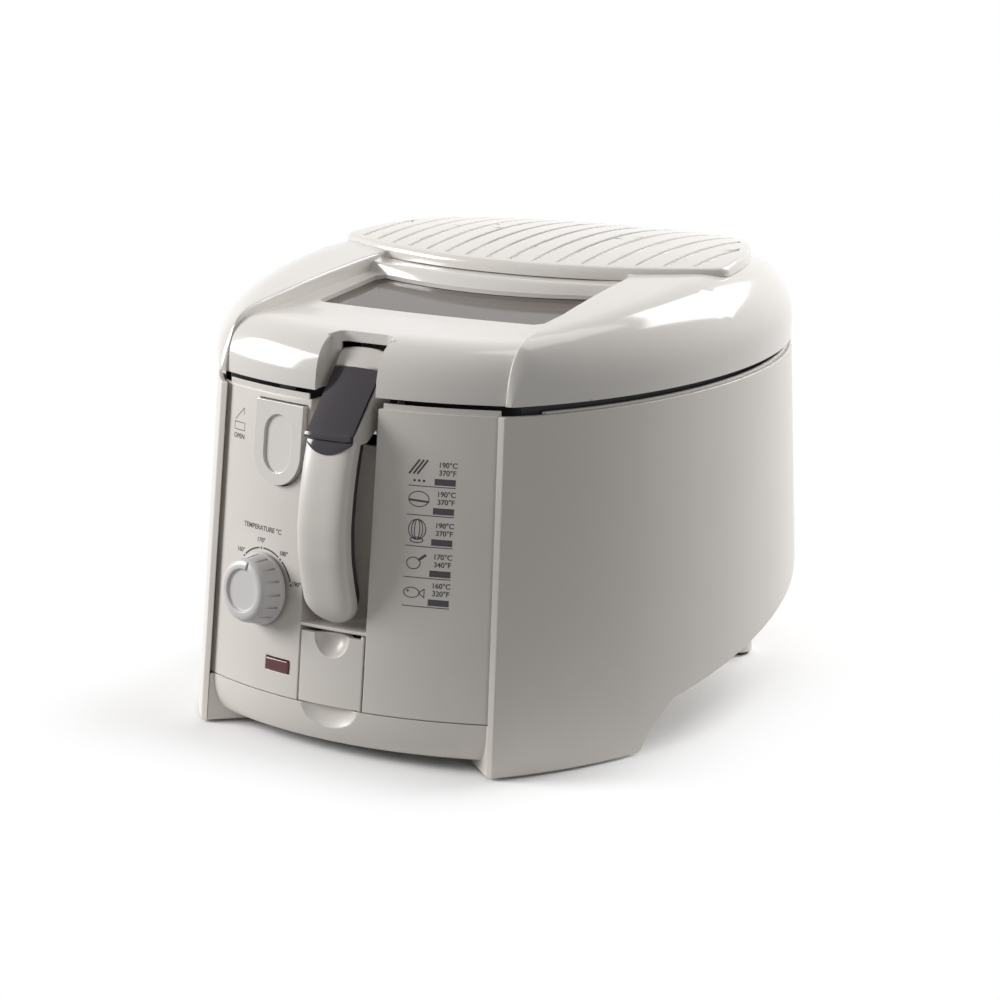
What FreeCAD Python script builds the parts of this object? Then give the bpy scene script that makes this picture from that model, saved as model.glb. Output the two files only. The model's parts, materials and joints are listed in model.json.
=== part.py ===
import FreeCAD, Part
import math
import os
import Sketcher
from types import SimpleNamespace
from FreeCAD import Placement, Rotation, Vector

# A rotating-basket deep fryer. Depths run back from the line through the two front feet, heights run
# up from the floor, and every finished piece is shifted so that the origin lies under the middle.

SIZES = {
    # Oval case, given at the floor and at the rim
    "origin_back": 179.576,
    "floor_half_width": 154,
    "floor_half_depth": 213,
    "floor_centre": 170,
    "rim_half_width": 146.5,
    "rim_half_depth": 195,
    "rim_centre": 176,
    "rim_height": 186,
    "rim_setback": 20.4,
    "case_wall": 3,
    "seat_gap": 0.2,
    # Underside of the case: front foot, arch, belly and tail
    "foot_pad": 2,
    "foot_pad_radius": 7,
    "foot_pad_depth": 41.8,
    "foot_pad_inset": 11.2,
    "foot_floor": 3,
    "foot_floor_back": 4,
    "foot_length": 76,
    "arch_depth": 102,
    "arch_height": 25,
    "belly_depth": 231,
    "belly_height": 47,
    "tail_depth": 392,
    "tail_height": 142,
    "tail_share": 0.4,
    "tail_sag": 13,
    "plate_wall": 2.5,
    "plate_front_height": 8,
    "leg_depth": 266,
    "leg_spread": 100,
    "leg_radius": 9,
    "leg_root_radius": 12.15,
    # Bowed front: panel, plinth and handle channel
    "front_radius": 226,
    "front_reach": -15.5,
    "front_lean": 22,
    "panel_wall": 3,
    "panel_half_width": 95,
    "panel_foot": 27.6,
    "panel_top": 185.5,
    "plinth_foot": 6,
    "plinth_top": 27.2,
    "plinth_depth": 13,
    "plinth_round": 8,
    "dish_radius": 30,
    "dish_lift": 11,
    "dish_stand": 22.4,
    "channel_half_width": 20.6,
    "channel_wall": 1.8,
    "channel_floor": 28,
    "channel_foot": 69.4,
    "channel_mouth_half_width": 18.4,
    "channel_mouth_foot": 160,
    "drain_bay_depth": 45,
    # Bowl, set with its floor falling towards the front
    "bowl_depth": 196,
    "bowl_height": 82,
    "bowl_tilt": 13,
    "bowl_radius": 108,
    "bowl_wall": 1.5,
    "bowl_corner": 10,
    "bowl_flange": 8,
    "frame_height": 176,
    "frame_wall": 2.5,
    "neck_height": 190.4,
    "neck_inset": 7,
    "neck_wall": 2.5,
    "neck_front": 33,
    "neck_rear": 350,
    "bowl_gate_half_width": 11,
    "bowl_gate_foot": 162,
    "bowl_gate_reach": 86.4,
    # Lid
    "lid_foot": 191,
    "lid_wall": 2.5,
    "lid_lead": 2.4,
    "lid_rear": 361,
    "shoulder_radius": 36,
    "ridge_front": 87.2,
    "ridge_rear": 80,
    "band_front": 7,
    "band_height": 219.8,
    "band_rear": 168,
    "band_rear_height": 229,
    "band_lip": 2,
    "band_roll": 22,
    "roll_inset": 5.5,
    "roll_drop": 8.8,
    "notch_half_width": 18.8,
    "notch_gap": 0.6,
    "notch_reach": 7.76,
    "notch_rise": 0.4,
    "window_front": 87,
    "window_rear": 134,
    "window_half_width": 71,
    "window_wall": 2.5,
    "window_lap": 5,
    "gasket_wall": 1.2,
    "liner_height": 194.2,
    "liner_wall": 1.5,
    "liner_width": 12,
    "seal_height": 190.7,
    "seal_width": 5,
    "catch_half_width": 5,
    "catch_foot": 183.6,
    "catch_hook": 2.4,
    "catch_stand": 2.4,
    "catch_wall": 2.5,
    "catch_root": 12,
    "hinge_depth": 376,
    "hinge_height": 190,
    "hinge_radius": 5.5,
    "hinge_pin_radius": 2.5,
    "hinge_run": 0.05,
    "hinge_half_length": 40,
    "knuckle_inner": 12,
    "knuckle_outer": 26,
    "knuckle_gap": 0.4,
    "hinge_arm_root": 8,
    "hinge_arm_lift": 1.1,
    "hinge_arm_height": 13,
    "hinge_post": 3,
    "hinge_plate_drop": 14,
    "hinge_plate_rise": 8,
    "hinge_plate_gap": 1.5,
    # Filter cover and filters
    "cover_front": 168.6,
    "cover_half_width": 125.5,
    "cover_half_depth": 161,
    "cover_front_height": 239.5,
    "cover_crown": 246,
    "cover_rear_height": 233,
    "cover_wall": 2.5,
    "cover_gap": 0.4,
    "rib_pitch": 14.4,
    "rib_groove": 3,
    "rib_groove_depth": 1.4,
    "rib_margin": 6,
    "rib_count": 16,
    "vent_count": 6,
    "filter_front": 186,
    "filter_rear": 286,
    "filter_half_width": 74,
    "filter_foot": 219,
    "tray_wall": 1.6,
    "tray_slots": 9,
    "tray_slot_half_width": 66.6,
    "tray_lip": 5,
    "tray_drop": 0.5,
    "grease_height": 4,
    "carbon_height": 6,
    # Handle, turning on two trunnions in the notch of the lid
    "pivot_depth": 36,
    "pivot_height": 195,
    "drum_radius": 18.8,
    "drum_wall": 2.5,
    "handle_half_width": 14,
    "fork_half_gap": 9,
    "fork_reach": 40,
    "fork_drop": 12,
    "fork_clear": 3,
    "drum_margin": 6,
    "shelf_inset": 6.5,
    "shelf_rise": 7,
    "shelf_back": 9,
    "shelf_drop": 6,
    "hub_radius": 11,
    "trunnion_radius": 4,
    "trunnion_run": 0.06,
    "ear_gap": 0.5,
    "ear_wall": 2.8,
    "ear_round": 4,
    "ear_plate": 3,
    "ear_drop": 10,
    "ear_rise": 12,
    "ear_floor": 9,
    "crank_radius": 24,
    "crank_angle": 37,
    "handle_swing": 50,
    "crank_pin_radius": 2.25,
    "crank_pin_run": 0.02,
    "crank_pin_length": 25.2,
    "crank_boss_front": 3,
    "crank_boss_drop": 6.5,
    "crank_boss_rear": 7,
    "crank_boss_rise": 4,
    "slider_wall": 3.2,
    "slider_gap": 0.3,
    "slider_start": 0.8,
    "slider_side_gap": 0.5,
    "lip_reach": 5.44,
    "lip_drop": 6.72,
    "lip_tip_reach": 4.16,
    "lip_tip_drop": 9.92,
    "lip_root_reach": 4.32,
    "lip_root_drop": 3.68,
    "stem_end_depth": -8.2,
    "stem_end_height": 174,
    "grip_bulge": -14.2,
    "grip_bulge_height": 121,
    "grip_tip_height": 71.5,
    "grip_tip_length": 8,
    "grip_tip_setback": 4.6,
    "grip_start_lead": 1,
    "grip_start_drop": 6,
    "grip_start_slope": 0.8,
    "grip_wall": 7.5,
    "grip_back_wall": 6.5,
    "grip_back_inset": 1.5,
    "grip_round": 4,
    "grip_corner": 9,
    # Basket, its carrier and the drive
    "arm_half_width": 7.5,
    "arm_foot": 167,
    "arm_top": 174.6,
    "slot_slack": 0.8,
    "arm_wall": 2.2,
    "strap_wall": 2.5,
    "strap_gap": 3.3,
    "ring_foot": 4.2,
    "ring_height": 4,
    "hub_bore": 12.05,
    "hub_run": 0.05,
    "ring_wall": 5,
    "basket_radius": 97,
    "basket_foot": 11.2,
    "basket_height": 59,
    "basket_wall": 1.2,
    "basket_rim": 1.6,
    "basket_slots": 36,
    "basket_slot_width": 7,
    "basket_slot_foot": 14.4,
    "basket_slot_head": 5.4,
    "basket_corner": 9,
    "hub_foot": 3.8,
    "hub_gap": 0.3,
    "hub_flange": 4,
    "socket_top": 9.6,
    "shaft_radius": 4,
    "shaft_run": 0.05,
    "shaft_drop": 9.6,
    "shaft_top": 3.4,
    "dog_width": 5,
    "dog_length": 12,
    "dog_gap": 0.5,
    "dog_lift": 1.2,
    "bush_radius": 9,
    "bush_flange": 4,
    "bush_flange_wall": 1.5,
    "bush_height": 3,
    "bush_end_gap": 4,
    "motor_radius": 26,
    "motor_height": 16,
    "motor_drop": 13,
    "motor_bore_depth": 11.2,
    "terminal_reach": 9,
    "terminal_root": 3,
    "terminal_half_width": 6,
    "bracket_reach": 12,
    "bracket_half_width": 11,
    "bracket_wall": 1.5,
    "post_radius": 4,
    "post_inset": 6,
    "element_ring": 72,
    "element_radius": 3.4,
    "element_span": 330,
    "element_start": 105,
    "element_gap": 0.3,
    "cutout_radius": 8,
    "cutout_place": 44,
    "cutout_height": 8.8,
    "cutout_tab_half_width": 4.8,
    "cutout_tab_half_wall": 2,
    # Lid button and latch
    "button_place": -41,
    "button_height": 160,
    "button_width": 36,
    "button_length": 45,
    "button_gap": 0.5,
    "button_rise": 2.4,
    "button_wall": 3,
    "button_dish_width": 20,
    "button_dish_length": 31,
    "button_dish_depth": 1.44,
    "button_travel": 3,
    "stem_radius": 3,
    "stem_gap": 1,
    "latch_pivot_height": 130,
    "latch_front": 22,
    "latch_wall": 3,
    "latch_half_width": 5,
    "latch_top": 189.4,
    "latch_nose": 2.4,
    "latch_nose_foot": 186.4,
    "latch_pin_radius": 2,
    "latch_eye_wall": 2.4,
    "latch_ear": 2.2,
    "latch_side_gap": 0.4,
    "latch_web": 3.5,
    # Thermostat, lamp and drain
    "knob_place": -49.2,
    "knob_height": 82,
    "knob_radius": 20,
    "knob_rise": 19,
    "knob_gap": 1.2,
    "knob_ribs": 24,
    "knob_rib_radius": 1.3,
    "knob_rib_foot": 5,
    "knob_skirt": 3,
    "knob_step": 1.6,
    "knob_slope": 0.6,
    "knob_taper": 2.8,
    "knob_round": 3,
    "knob_round_inset": 3.7,
    "knob_round_drop": 0.9,
    "knob_top_inset": 5.8,
    "knob_disc_radius": 11.2,
    "knob_floor_radius": 10.4,
    "knob_disc_depth": 1.4,
    "knob_bore_cover": 6,
    "spindle_radius": 3,
    "spindle_run": 0.05,
    "spindle_stop": 2,
    "spindle_boss_wall": 2,
    "thermostat_width": 34,
    "thermostat_tall": 27.2,
    "thermostat_stand": 1,
    "thermostat_depth": 20,
    "lens_place": -35.4,
    "lens_height": 43.5,
    "lens_width": 17,
    "lens_tall": 7,
    "lens_rise": 0.8,
    "lens_flange": 2,
    "lens_flange_wall": 1.5,
    "lamp_radius": 3,
    "lamp_length": 20,
    "door_half_width": 19.6,
    "door_wall": 3,
    "door_foot": 28,
    "door_top": 65.2,
    "door_axis": 18.4,
    "door_pin_radius": 1.1,
    "door_pin_reach": 1.6,
    "door_pin_gap": 1,
    "door_scoop": 13,
    "door_scoop_depth": 5.85,
    "tube_radius": 5,
    "tube_bore": 3.4,
    "tube_height": 44,
    "tube_bend": 9,
    "spout_length": 5,
    "tube_front": 14,
    "spout_place": -84,
    "cap_wall": 2,
    "cap_length": 12,
    "gland_height": 148,
    "gland_radius": 6.5,
    "gland_flange": 9.5,
    "gland_stand": 0.8,
    "gland_rim": 2,
    "gland_depth": 8,
    "gland_length": 9,
    "gland_bore": 3.575,
    "screw_radius": 3.2,
    "screw_head": 1.8,
    "screw_sink": 0.6,
    "screw_front_spread": 60,
    "screw_front_depth": 40,
    "screw_rear_spread": 90,
    "screw_rear_depth": 200,
}

doc = FreeCAD.newDocument("deep_fryer")
sheet = doc.addObject("Spreadsheet::Sheet", "sizes")
for row, (alias, value) in enumerate(SIZES.items(), start=1):
    sheet.set(f"A{row}", alias)
    sheet.set(f"B{row}", str(value))
    sheet.setAlias(f"B{row}", alias)
doc.recompute()
mm = SimpleNamespace(**{alias: float(sheet.get(alias)) for alias in SIZES})
finished = {}


class Size:
    """A length that carries its number together with the sheet expression that gives it."""

    def __init__(self, value, text):
        self.value, self.text = value, text

    def __float__(self):
        return self.value

    def __neg__(self):
        return Size(-self.value, f"-({self.text})")

    def __add__(self, other):
        return Size(self.value + float(other), f"({self.text} + {words(other)})")

    def __sub__(self, other):
        return Size(self.value - float(other), f"({self.text} - {words(other)})")

    def __mul__(self, other):
        return Size(self.value * float(other), f"({self.text} * {words(other)})")

    def __truediv__(self, other):
        return Size(self.value / float(other), f"({self.text} / {words(other)})")


def words(number):
    """Text of a size or a plain number for an expression."""
    return number.text if isinstance(number, Size) else repr(float(number))


class BoundSizes:
    """Every alias of the sheet as a Size."""

    def __getattr__(self, alias):
        return Size(getattr(mm, alias), f"sizes.{alias}")


cell = BoundSizes()
ZERO = Size(0.0, "0")


def bind(feature, name, number):
    """Tie one property of a feature to the sheet."""
    feature.setExpression(name, words(number))


# Places: the front datum, the tilted bowl, and spots on the bowed front panel

def front_datum():
    """Shift from the front feet to the origin under the middle of the fryer."""
    return Placement(Vector(0, -mm.origin_back, 0), Rotation())


def bowl_datum():
    """Centre of the bowl's inner floor, with the axis leaning forward by the tilt."""
    return front_datum() * bowl_place()


def bowl_place():
    """The same spot and lean, with depths still measured from the front feet."""
    return Placement(Vector(0, mm.bowl_depth, mm.bowl_height), Rotation(Vector(1, 0, 0), mm.bowl_tilt))


def front_lean(height):
    """How far the bowed front stands back at a height."""
    return mm.front_lean * height / mm.rim_height


def front_depth(across, height, inset=0.0):
    """Depth of the bowed front, or of a skin concentric with it, at a place."""
    radius = mm.front_radius - inset
    centre = mm.front_reach + front_lean(height) + mm.front_radius
    return centre - math.sqrt(radius * radius - across * across)


def front_place(across, height):
    """Frame on the bowed front: X to the right, Y up the face, Z out of it."""
    slope = across / math.sqrt(mm.front_radius ** 2 - across ** 2)
    out = Vector(slope, -1, mm.front_lean / mm.rim_height).normalize()
    up = (Vector(0, 0, 1) - out * out.z).normalize()
    turn = Rotation(up.cross(out), up, out, "ZYX")
    return Placement(Vector(across, front_depth(across, height), height), turn)


# Sketches and features of bodies

def new_body(label, place=None):
    """Start a body for one piece."""
    body = doc.addObject("PartDesign::Body", label)
    body.Label = label
    body.Placement = place or front_datum()
    finished[label] = body
    return body


def origin_feature(body, role):
    return next(item for item in body.Origin.OriginFeatures if item.Role == role)


def new_sketch(body, role, lift=ZERO):
    """Sketch on one of the body's own planes, lifted along the plane's normal."""
    sketch = body.newObject("Sketcher::SketchObject", f"{body.Name}_sketch")
    sketch.AttachmentSupport = [(origin_feature(body, role), "")]
    sketch.MapMode = "FlatFace"
    bind(sketch, "AttachmentOffset.Base.z", lift)
    return sketch


def pin_point(sketch, geometry, position, across, up):
    """Hold one point of a sketch at bound coordinates."""
    for kind, number in (("DistanceX", across), ("DistanceY", up)):
        index = sketch.addConstraint(Sketcher.Constraint(kind, -1, 1, geometry, position, float(number)))
        sketch.setExpression(f"Constraints[{index}]", words(number))


def left_arc(start, middle, stop):
    """Arc that turns left from start to stop."""
    curve = Part.Arc(start, middle, stop).toShape().Curve
    centre = curve.Center
    angles = [math.atan2(point.y - centre.y, point.x - centre.x) for point in (start, stop)]
    return Part.ArcOfCircle(Part.Circle(centre, Vector(0, 0, 1), curve.Radius), *angles)


def outline(sketch, corners):
    """Close a loop through corners; a corner with a third entry arcs to the next corner through it."""
    ends = []
    for index, corner in enumerate(corners):
        following = corners[(index + 1) % len(corners)]
        start = Vector(float(corner[0]), float(corner[1]), 0)
        stop = Vector(float(following[0]), float(following[1]), 0)
        if len(corner) == 2:
            geometry = sketch.addGeometry(Part.LineSegment(start, stop))
            ends.append((geometry, 1, 2))
            continue
        middle = Vector(float(corner[2][0]), float(corner[2][1]), 0)
        leftward = (middle - start).cross(stop - middle).z > 0
        arc = left_arc(start, middle, stop) if leftward else left_arc(stop, middle, start)
        geometry = sketch.addGeometry(arc)
        ends.append((geometry, 1, 2) if leftward else (geometry, 2, 1))
        point = sketch.addGeometry(Part.Point(middle), True)
        pin_point(sketch, point, 1, *corner[2])
        sketch.addConstraint(Sketcher.Constraint("PointOnObject", point, 1, geometry))
    for index, corner in enumerate(corners):
        geometry, first, _ = ends[index]
        previous, _, last = ends[index - 1]
        sketch.addConstraint(Sketcher.Constraint("Coincident", previous, last, geometry, first))
        pin_point(sketch, geometry, first, corner[0], corner[1])
    return sketch


def circle(sketch, radius, across=ZERO, up=ZERO):
    """Circle with a bound radius and centre."""
    centre = Vector(float(across), float(up), 0)
    geometry = sketch.addGeometry(Part.Circle(centre, Vector(0, 0, 1), float(radius)))
    pin_point(sketch, geometry, 3, across, up)
    index = sketch.addConstraint(Sketcher.Constraint("Radius", geometry, float(radius)))
    sketch.setExpression(f"Constraints[{index}]", words(radius))
    return sketch


def rectangle(sketch, left, low, right, high):
    return outline(sketch, [(left, low), (right, low), (right, high), (left, high)])


def grow(body, kind, sketch, length, both_ways=False, backwards=False):
    """Pad or pocket a sketch."""
    feature = body.newObject(f"PartDesign::{kind}", f"{body.Name}_{kind.lower()}")
    feature.Profile = sketch
    feature.SideType = "Symmetric" if both_ways else "One side"
    feature.Reversed = backwards
    bind(feature, "Length", length)
    return feature


def turn_about(body, kind, sketch, axis="V_Axis"):
    """Revolution or groove of a sketch about one of its own axes."""
    feature = body.newObject(f"PartDesign::{kind}", f"{body.Name}_{kind.lower()}")
    feature.Profile = sketch
    feature.ReferenceAxis = (sketch, [axis])
    feature.Angle = 360
    return feature


def repeat_round(body, feature, count):
    """Polar pattern about the body's Z axis."""
    pattern = body.newObject("PartDesign::PolarPattern", f"{body.Name}_pattern")
    pattern.Originals = [feature]
    pattern.Axis = (origin_feature(body, "Z_Axis"), [""])
    pattern.Angle = 360
    bind(pattern, "Occurrences", count)
    body.Tip = pattern
    return pattern


def primitive(kind, place, **sizes):
    """Part primitive with bound sizes."""
    piece = doc.addObject(f"Part::{kind}", kind.lower())
    piece.Placement = place
    for name, number in sizes.items():
        bind(piece, name, number)
    return piece


def join(label, pieces, place):
    """Fuse primitives into one named piece."""
    piece = doc.addObject("Part::MultiFuse", label)
    piece.Shapes = pieces
    piece.Label = label
    piece.Placement = place
    finished[label] = piece
    return piece


def moulding(label, shape, place=None):
    """Piece whose surfaces come from lofts and cuts of the case's own oval."""
    piece = doc.addObject("Part::Feature", label)
    piece.Label = label
    piece.Shape = shape.Solids[0] if len(shape.Solids) == 1 else Part.makeCompound(shape.Solids)
    piece.Placement = (place or front_datum()) * piece.Shape.Placement
    finished[label] = piece
    return piece


# Solids shared by the mouldings

def side_wire(corners):
    """Loop in the middle plane through (depth, height) corners, with arcs as in outline()."""
    edges = []
    for index, corner in enumerate(corners):
        following = corners[(index + 1) % len(corners)]
        start = Vector(0, corner[0], corner[1])
        stop = Vector(0, following[0], following[1])
        if len(corner) == 3:
            edges.append(Part.Arc(start, Vector(0, *corner[2]), stop).toShape())
        else:
            edges.append(Part.LineSegment(start, stop).toShape())
    return Part.Wire(edges)


def prism(corners, low_x, high_x):
    """Side outline carried across the fryer from one X to another."""
    face = Part.Face(side_wire(corners))
    face.translate(Vector(low_x, 0, 0))
    return face.extrude(Vector(high_x - low_x, 0, 0))


def block(low, high):
    """Box between two corners."""
    return Part.makeBox(high[0] - low[0], high[1] - low[1], high[2] - low[2], Vector(*low))


def oval(inset, height):
    """Outline of the tapered case at a height, drawn in by an inset."""
    share = height / mm.rim_height
    wide = mm.floor_half_width + (mm.rim_half_width - mm.floor_half_width) * share - inset
    deep = mm.floor_half_depth + (mm.rim_half_depth - mm.floor_half_depth) * share - inset
    centre = Vector(0, mm.floor_centre + (mm.rim_centre - mm.floor_centre) * share, height)
    curve = Part.Ellipse(centre + Vector(0, deep, 0), centre + Vector(wide, 0, 0), centre)
    return Part.Wire([curve.toShape()])


def column(inset, low, high):
    """Tapered oval solid between two heights."""
    return Part.makeLoft([oval(inset, low), oval(inset, high)], True, True)


def front_wire(low_x, high_x, height, outer, inner):
    """Section of a bowed slab at a height, between two insets from the front face."""
    middle = (low_x + high_x) / 2
    near = [Vector(x, front_depth(x, height, outer), height) for x in (low_x, middle, high_x)]
    far = [Vector(x, front_depth(x, height, inner), height) for x in (high_x, middle, low_x)]
    return Part.Wire([
        Part.Arc(*near).toShape(),
        Part.LineSegment(near[2], far[0]).toShape(),
        Part.Arc(*far).toShape(),
        Part.LineSegment(far[2], near[0]).toShape(),
    ])


def front_slab(low_x, high_x, low, high, outer, inner):
    """Bowed, raked slab of the front."""
    wires = [front_wire(low_x, high_x, height, outer, inner) for height in (low, high)]
    return Part.makeLoft(wires, True, True)


def shield(width, length, low, high):
    """Flat-topped, round-bottomed prism about the middle of its length."""
    half, top = width / 2, length / 2
    shoulder = half - top
    corners = [Vector(-half, top, low), Vector(half, top, low), Vector(half, shoulder, low)]
    bottom, left = Vector(0, -top, low), Vector(-half, shoulder, low)
    wire = Part.Wire([
        Part.LineSegment(corners[0], corners[1]).toShape(),
        Part.LineSegment(corners[1], corners[2]).toShape(),
        Part.Arc(corners[2], bottom, left).toShape(),
        Part.LineSegment(left, corners[0]).toShape(),
    ])
    return Part.Face(wire).extrude(Vector(0, 0, high - low))


def placed(shape, place):
    """Copy of a shape carried to a place."""
    copy = shape.copy()
    copy.Placement = place * copy.Placement
    return copy


def rod(radius, start, direction, length):
    return Part.makeCylinder(radius, length, start, direction)


RIGHT = Vector(1, 0, 0)
BACK = Vector(0, 1, 0)
UP = Vector(0, 0, 1)
# Reach of a cutter past the whole fryer, reach past one wall, and the slack for picking edges by place
FAR = 400.0
REACH = 40.0
SLACK = 1e-3


def underside(lift=0.0):
    """Side outline of everything below the case: feet, arch, belly and tail."""
    foot = mm.foot_pad / 2 + lift
    return [
        (-FAR, foot),
        (mm.foot_length, foot,
         (mm.foot_length + (mm.arch_depth - mm.foot_length) / 3, mm.arch_height / 2 + lift)),
        (mm.arch_depth, mm.arch_height + lift),
        (mm.belly_depth, mm.belly_height + lift,
         ((mm.belly_depth + mm.tail_depth) / 2,
          mm.belly_height + (mm.tail_height - mm.belly_height) * mm.tail_share - mm.tail_sag + lift)),
        (mm.tail_depth, mm.tail_height + lift),
        (FAR + mm.tail_depth, mm.tail_height + lift),
        (FAR + mm.tail_depth, -FAR),
        (-FAR, -FAR),
    ]


def front_wedge(inset=0.0):
    """Everything in front of the raked plane through the cheeks' front edges."""
    lean = mm.rim_setback / mm.rim_height
    return prism([(-FAR, 0), (inset, 0), (inset + lean * FAR, FAR), (-FAR, FAR)], -FAR, FAR)


# Case

def case_hollow():
    """Room inside the case's wall."""
    return column(mm.case_wall, -1, mm.rim_height + 1)


def make_body_shell():
    shell = column(0, 0, mm.rim_height).cut(case_hollow())
    shell = shell.cut(prism(underside(), -FAR, FAR)).cut(front_wedge())
    ledge_foot = mm.frame_height - mm.case_wall
    ledge = column(mm.case_wall / 2, ledge_foot, mm.frame_height).cut(
        column(mm.case_wall + mm.neck_inset, ledge_foot - 1, mm.frame_height + 1))
    ledge = ledge.cut(block((-FAR, -FAR, 0), (FAR, mm.neck_front, FAR)))
    floor_top = mm.foot_pad + mm.foot_floor
    floor = column(mm.case_wall / 2, mm.foot_pad, floor_top).cut(
        column(mm.case_wall + 3 * mm.foot_pad_radius, 0, floor_top + 1))
    behind = block((-FAR, mm.foot_length - mm.foot_floor_back, -1), (FAR, FAR, FAR))
    floor = floor.cut(front_wedge()).cut(behind)
    shell = shell.fuse(ledge).fuse(floor)
    gland = rod(mm.gland_radius + mm.seat_gap, Vector(0, mm.floor_centre, mm.gland_height), BACK, FAR)
    moulding("body_shell", shell.cut(gland).removeSplitter())


def foot_spots():
    """Centres of the four rubber pads, on the front foot floors and under the rear legs."""
    reach = mm.foot_pad_depth
    share = (reach - mm.floor_centre) / mm.floor_half_depth
    across = mm.floor_half_width * math.sqrt(1 - share * share) - mm.case_wall - mm.foot_pad_inset
    return [(side * x, y) for side in (-1, 1) for x, y in ((across, reach), (mm.leg_spread, mm.leg_depth))]


def make_bottom_plate():
    wall, front = mm.plate_wall, mm.plate_front_height
    lower = [(mm.foot_length, front)] + underside()[2:5]
    rise = [(corner[0], corner[1] + wall) for corner in reversed(lower)]
    belly = lower[2]
    top_arc = (belly[2][0], belly[2][1] + wall)
    rise[1] = (rise[1][0], rise[1][1], top_arc)
    front_start = front_depth(mm.panel_half_width, front + wall, mm.plinth_depth)
    corners = [(front_start, front)] + lower + [(rise[0][0], rise[0][1], top_arc)] + rise[1:] + [
        (front_start, front + wall)]
    corners[-len(rise)] = (rise[1][0], rise[1][1])
    plate = prism(corners, -FAR, FAR).common(case_hollow())
    foot = mm.foot_pad
    for x, y in foot_spots()[1::2]:
        leg = Part.makeCone(mm.leg_radius, mm.leg_root_radius, mm.tail_height, Vector(x, y, foot), UP)
        above = underside(wall / 2)[2:5] + [(FAR, FAR), (-FAR, FAR)]
        plate = plate.fuse(leg.cut(prism(above, -FAR, FAR)))
    moulding("bottom_plate", plate.removeSplitter())


def make_rubber_feet():
    pads = [rod(mm.foot_pad_radius, Vector(x, y, 0), UP, mm.foot_pad) for x, y in foot_spots()]
    moulding("rubber_feet", Part.makeCompound(pads))


def inside_case():
    """Room between the cheeks, less a seat gap."""
    return column(mm.case_wall + 2 * mm.seat_gap, 0, mm.rim_height)


def make_base_panel():
    half = mm.panel_half_width
    bar = front_slab(-half, half, mm.plinth_foot, mm.plinth_top, 0, mm.plinth_depth)
    lower_front = [edge for edge in bar.Edges
                   if edge.BoundBox.ZMax < mm.plinth_foot + SLACK and edge.BoundBox.XLength > half
                   and edge.BoundBox.YMin < front_depth(0, mm.plinth_foot) + SLACK]
    bar = bar.makeFillet(mm.plinth_round, lower_front).common(inside_case())
    level = mm.plinth_top + mm.dish_lift
    dish = Part.makeSphere(mm.dish_radius, Vector(0, front_depth(0, level) - mm.dish_stand, level))
    moulding("base_panel", bar.cut(dish).cut(door_pin(mm.seat_gap / 4)))


def make_front_panel():
    half, top, foot = mm.panel_half_width, mm.panel_top, mm.panel_foot
    channel, wall = mm.channel_half_width, mm.channel_wall
    panel = front_slab(-half, half, foot, top, 0, mm.panel_wall).common(inside_case())
    outer = channel + wall
    behind = front_slab(-outer, outer, foot, top, mm.panel_wall / 2, FAR / 2)
    trough = block((-outer, -FAR, mm.channel_foot - wall), (outer, mm.channel_floor + wall, top))
    bay = block((-outer, -FAR, foot), (outer, mm.drain_bay_depth + wall, mm.channel_foot))
    panel = panel.fuse(trough.fuse(bay).common(behind))
    panel = panel.cut(block((-channel, -FAR, mm.channel_foot), (channel, mm.channel_floor, FAR)))
    panel = panel.cut(block((-channel, -FAR, 0), (channel, mm.drain_bay_depth, mm.channel_foot - wall)))
    panel = panel.cut(block((-mm.channel_mouth_half_width, 0, mm.channel_mouth_foot),
                            (mm.channel_mouth_half_width, FAR, FAR)))
    through = 3 * mm.panel_wall
    panel = panel.cut(placed(shield(mm.button_width, mm.button_length, -through, through),
                             front_place(mm.button_place, mm.button_height)))
    panel = panel.cut(placed(rod(spindle_boss() + mm.seat_gap, Vector(0, 0, -through), UP, 2 * through),
                             front_place(mm.knob_place, mm.knob_height)))
    lens = block((-mm.lens_width / 2 - mm.seat_gap, -mm.lens_tall / 2 - mm.seat_gap, -through),
                 (mm.lens_width / 2 + mm.seat_gap, mm.lens_tall / 2 + mm.seat_gap, through))
    panel = panel.cut(placed(lens, front_place(mm.lens_place, mm.lens_height)))
    tube = rod(mm.tube_radius + mm.seat_gap, Vector(0, 0, mm.tube_height), BACK, FAR)
    moulding("front_panel", panel.cut(tube).cut(door_pin(mm.seat_gap / 4)).removeSplitter())


def spindle_boss():
    """Outer radius of the threaded boss that carries the thermostat in the panel."""
    return mm.spindle_radius + mm.spindle_boss_wall


# Bowl and its frame

def tilted(radius, low, high):
    """Cylinder on the bowl's leaning axis."""
    return placed(Part.makeCylinder(radius, high - low, Vector(0, 0, low), UP), bowl_place())


def rim_oval(grow_by, low, high):
    """Upright prism of the oval where the leaning bowl meets a level plane."""
    lean = math.radians(mm.bowl_tilt)
    level = (low + high) / 2
    centre = Vector(0, mm.bowl_depth - math.tan(lean) * (level - mm.bowl_height), low)
    wide = mm.bowl_radius + grow_by
    deep = mm.bowl_radius / math.cos(lean) + grow_by
    curve = Part.Ellipse(centre + Vector(0, deep, 0), centre + Vector(wide, 0, 0), centre)
    return Part.Face(Part.Wire([curve.toShape()])).extrude(Vector(0, 0, high - low))


def frame_top():
    return mm.frame_height + mm.frame_wall


def arm_gate(half_width):
    """Slot through the front of the bowl and its frame for the basket carrier's arm."""
    rear = mm.bowl_depth - mm.bowl_gate_reach
    return block((-half_width, 0, mm.bowl_gate_foot), (half_width, rear, FAR))


def neck_plug(inset, low, high):
    """Plan of the neck around the bowl, straight at its front and rear, drawn in by an inset."""
    rows = block((-FAR, mm.neck_front + inset, low), (FAR, mm.neck_rear - inset, high))
    return column(mm.neck_inset + inset, low, high).common(rows)


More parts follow.
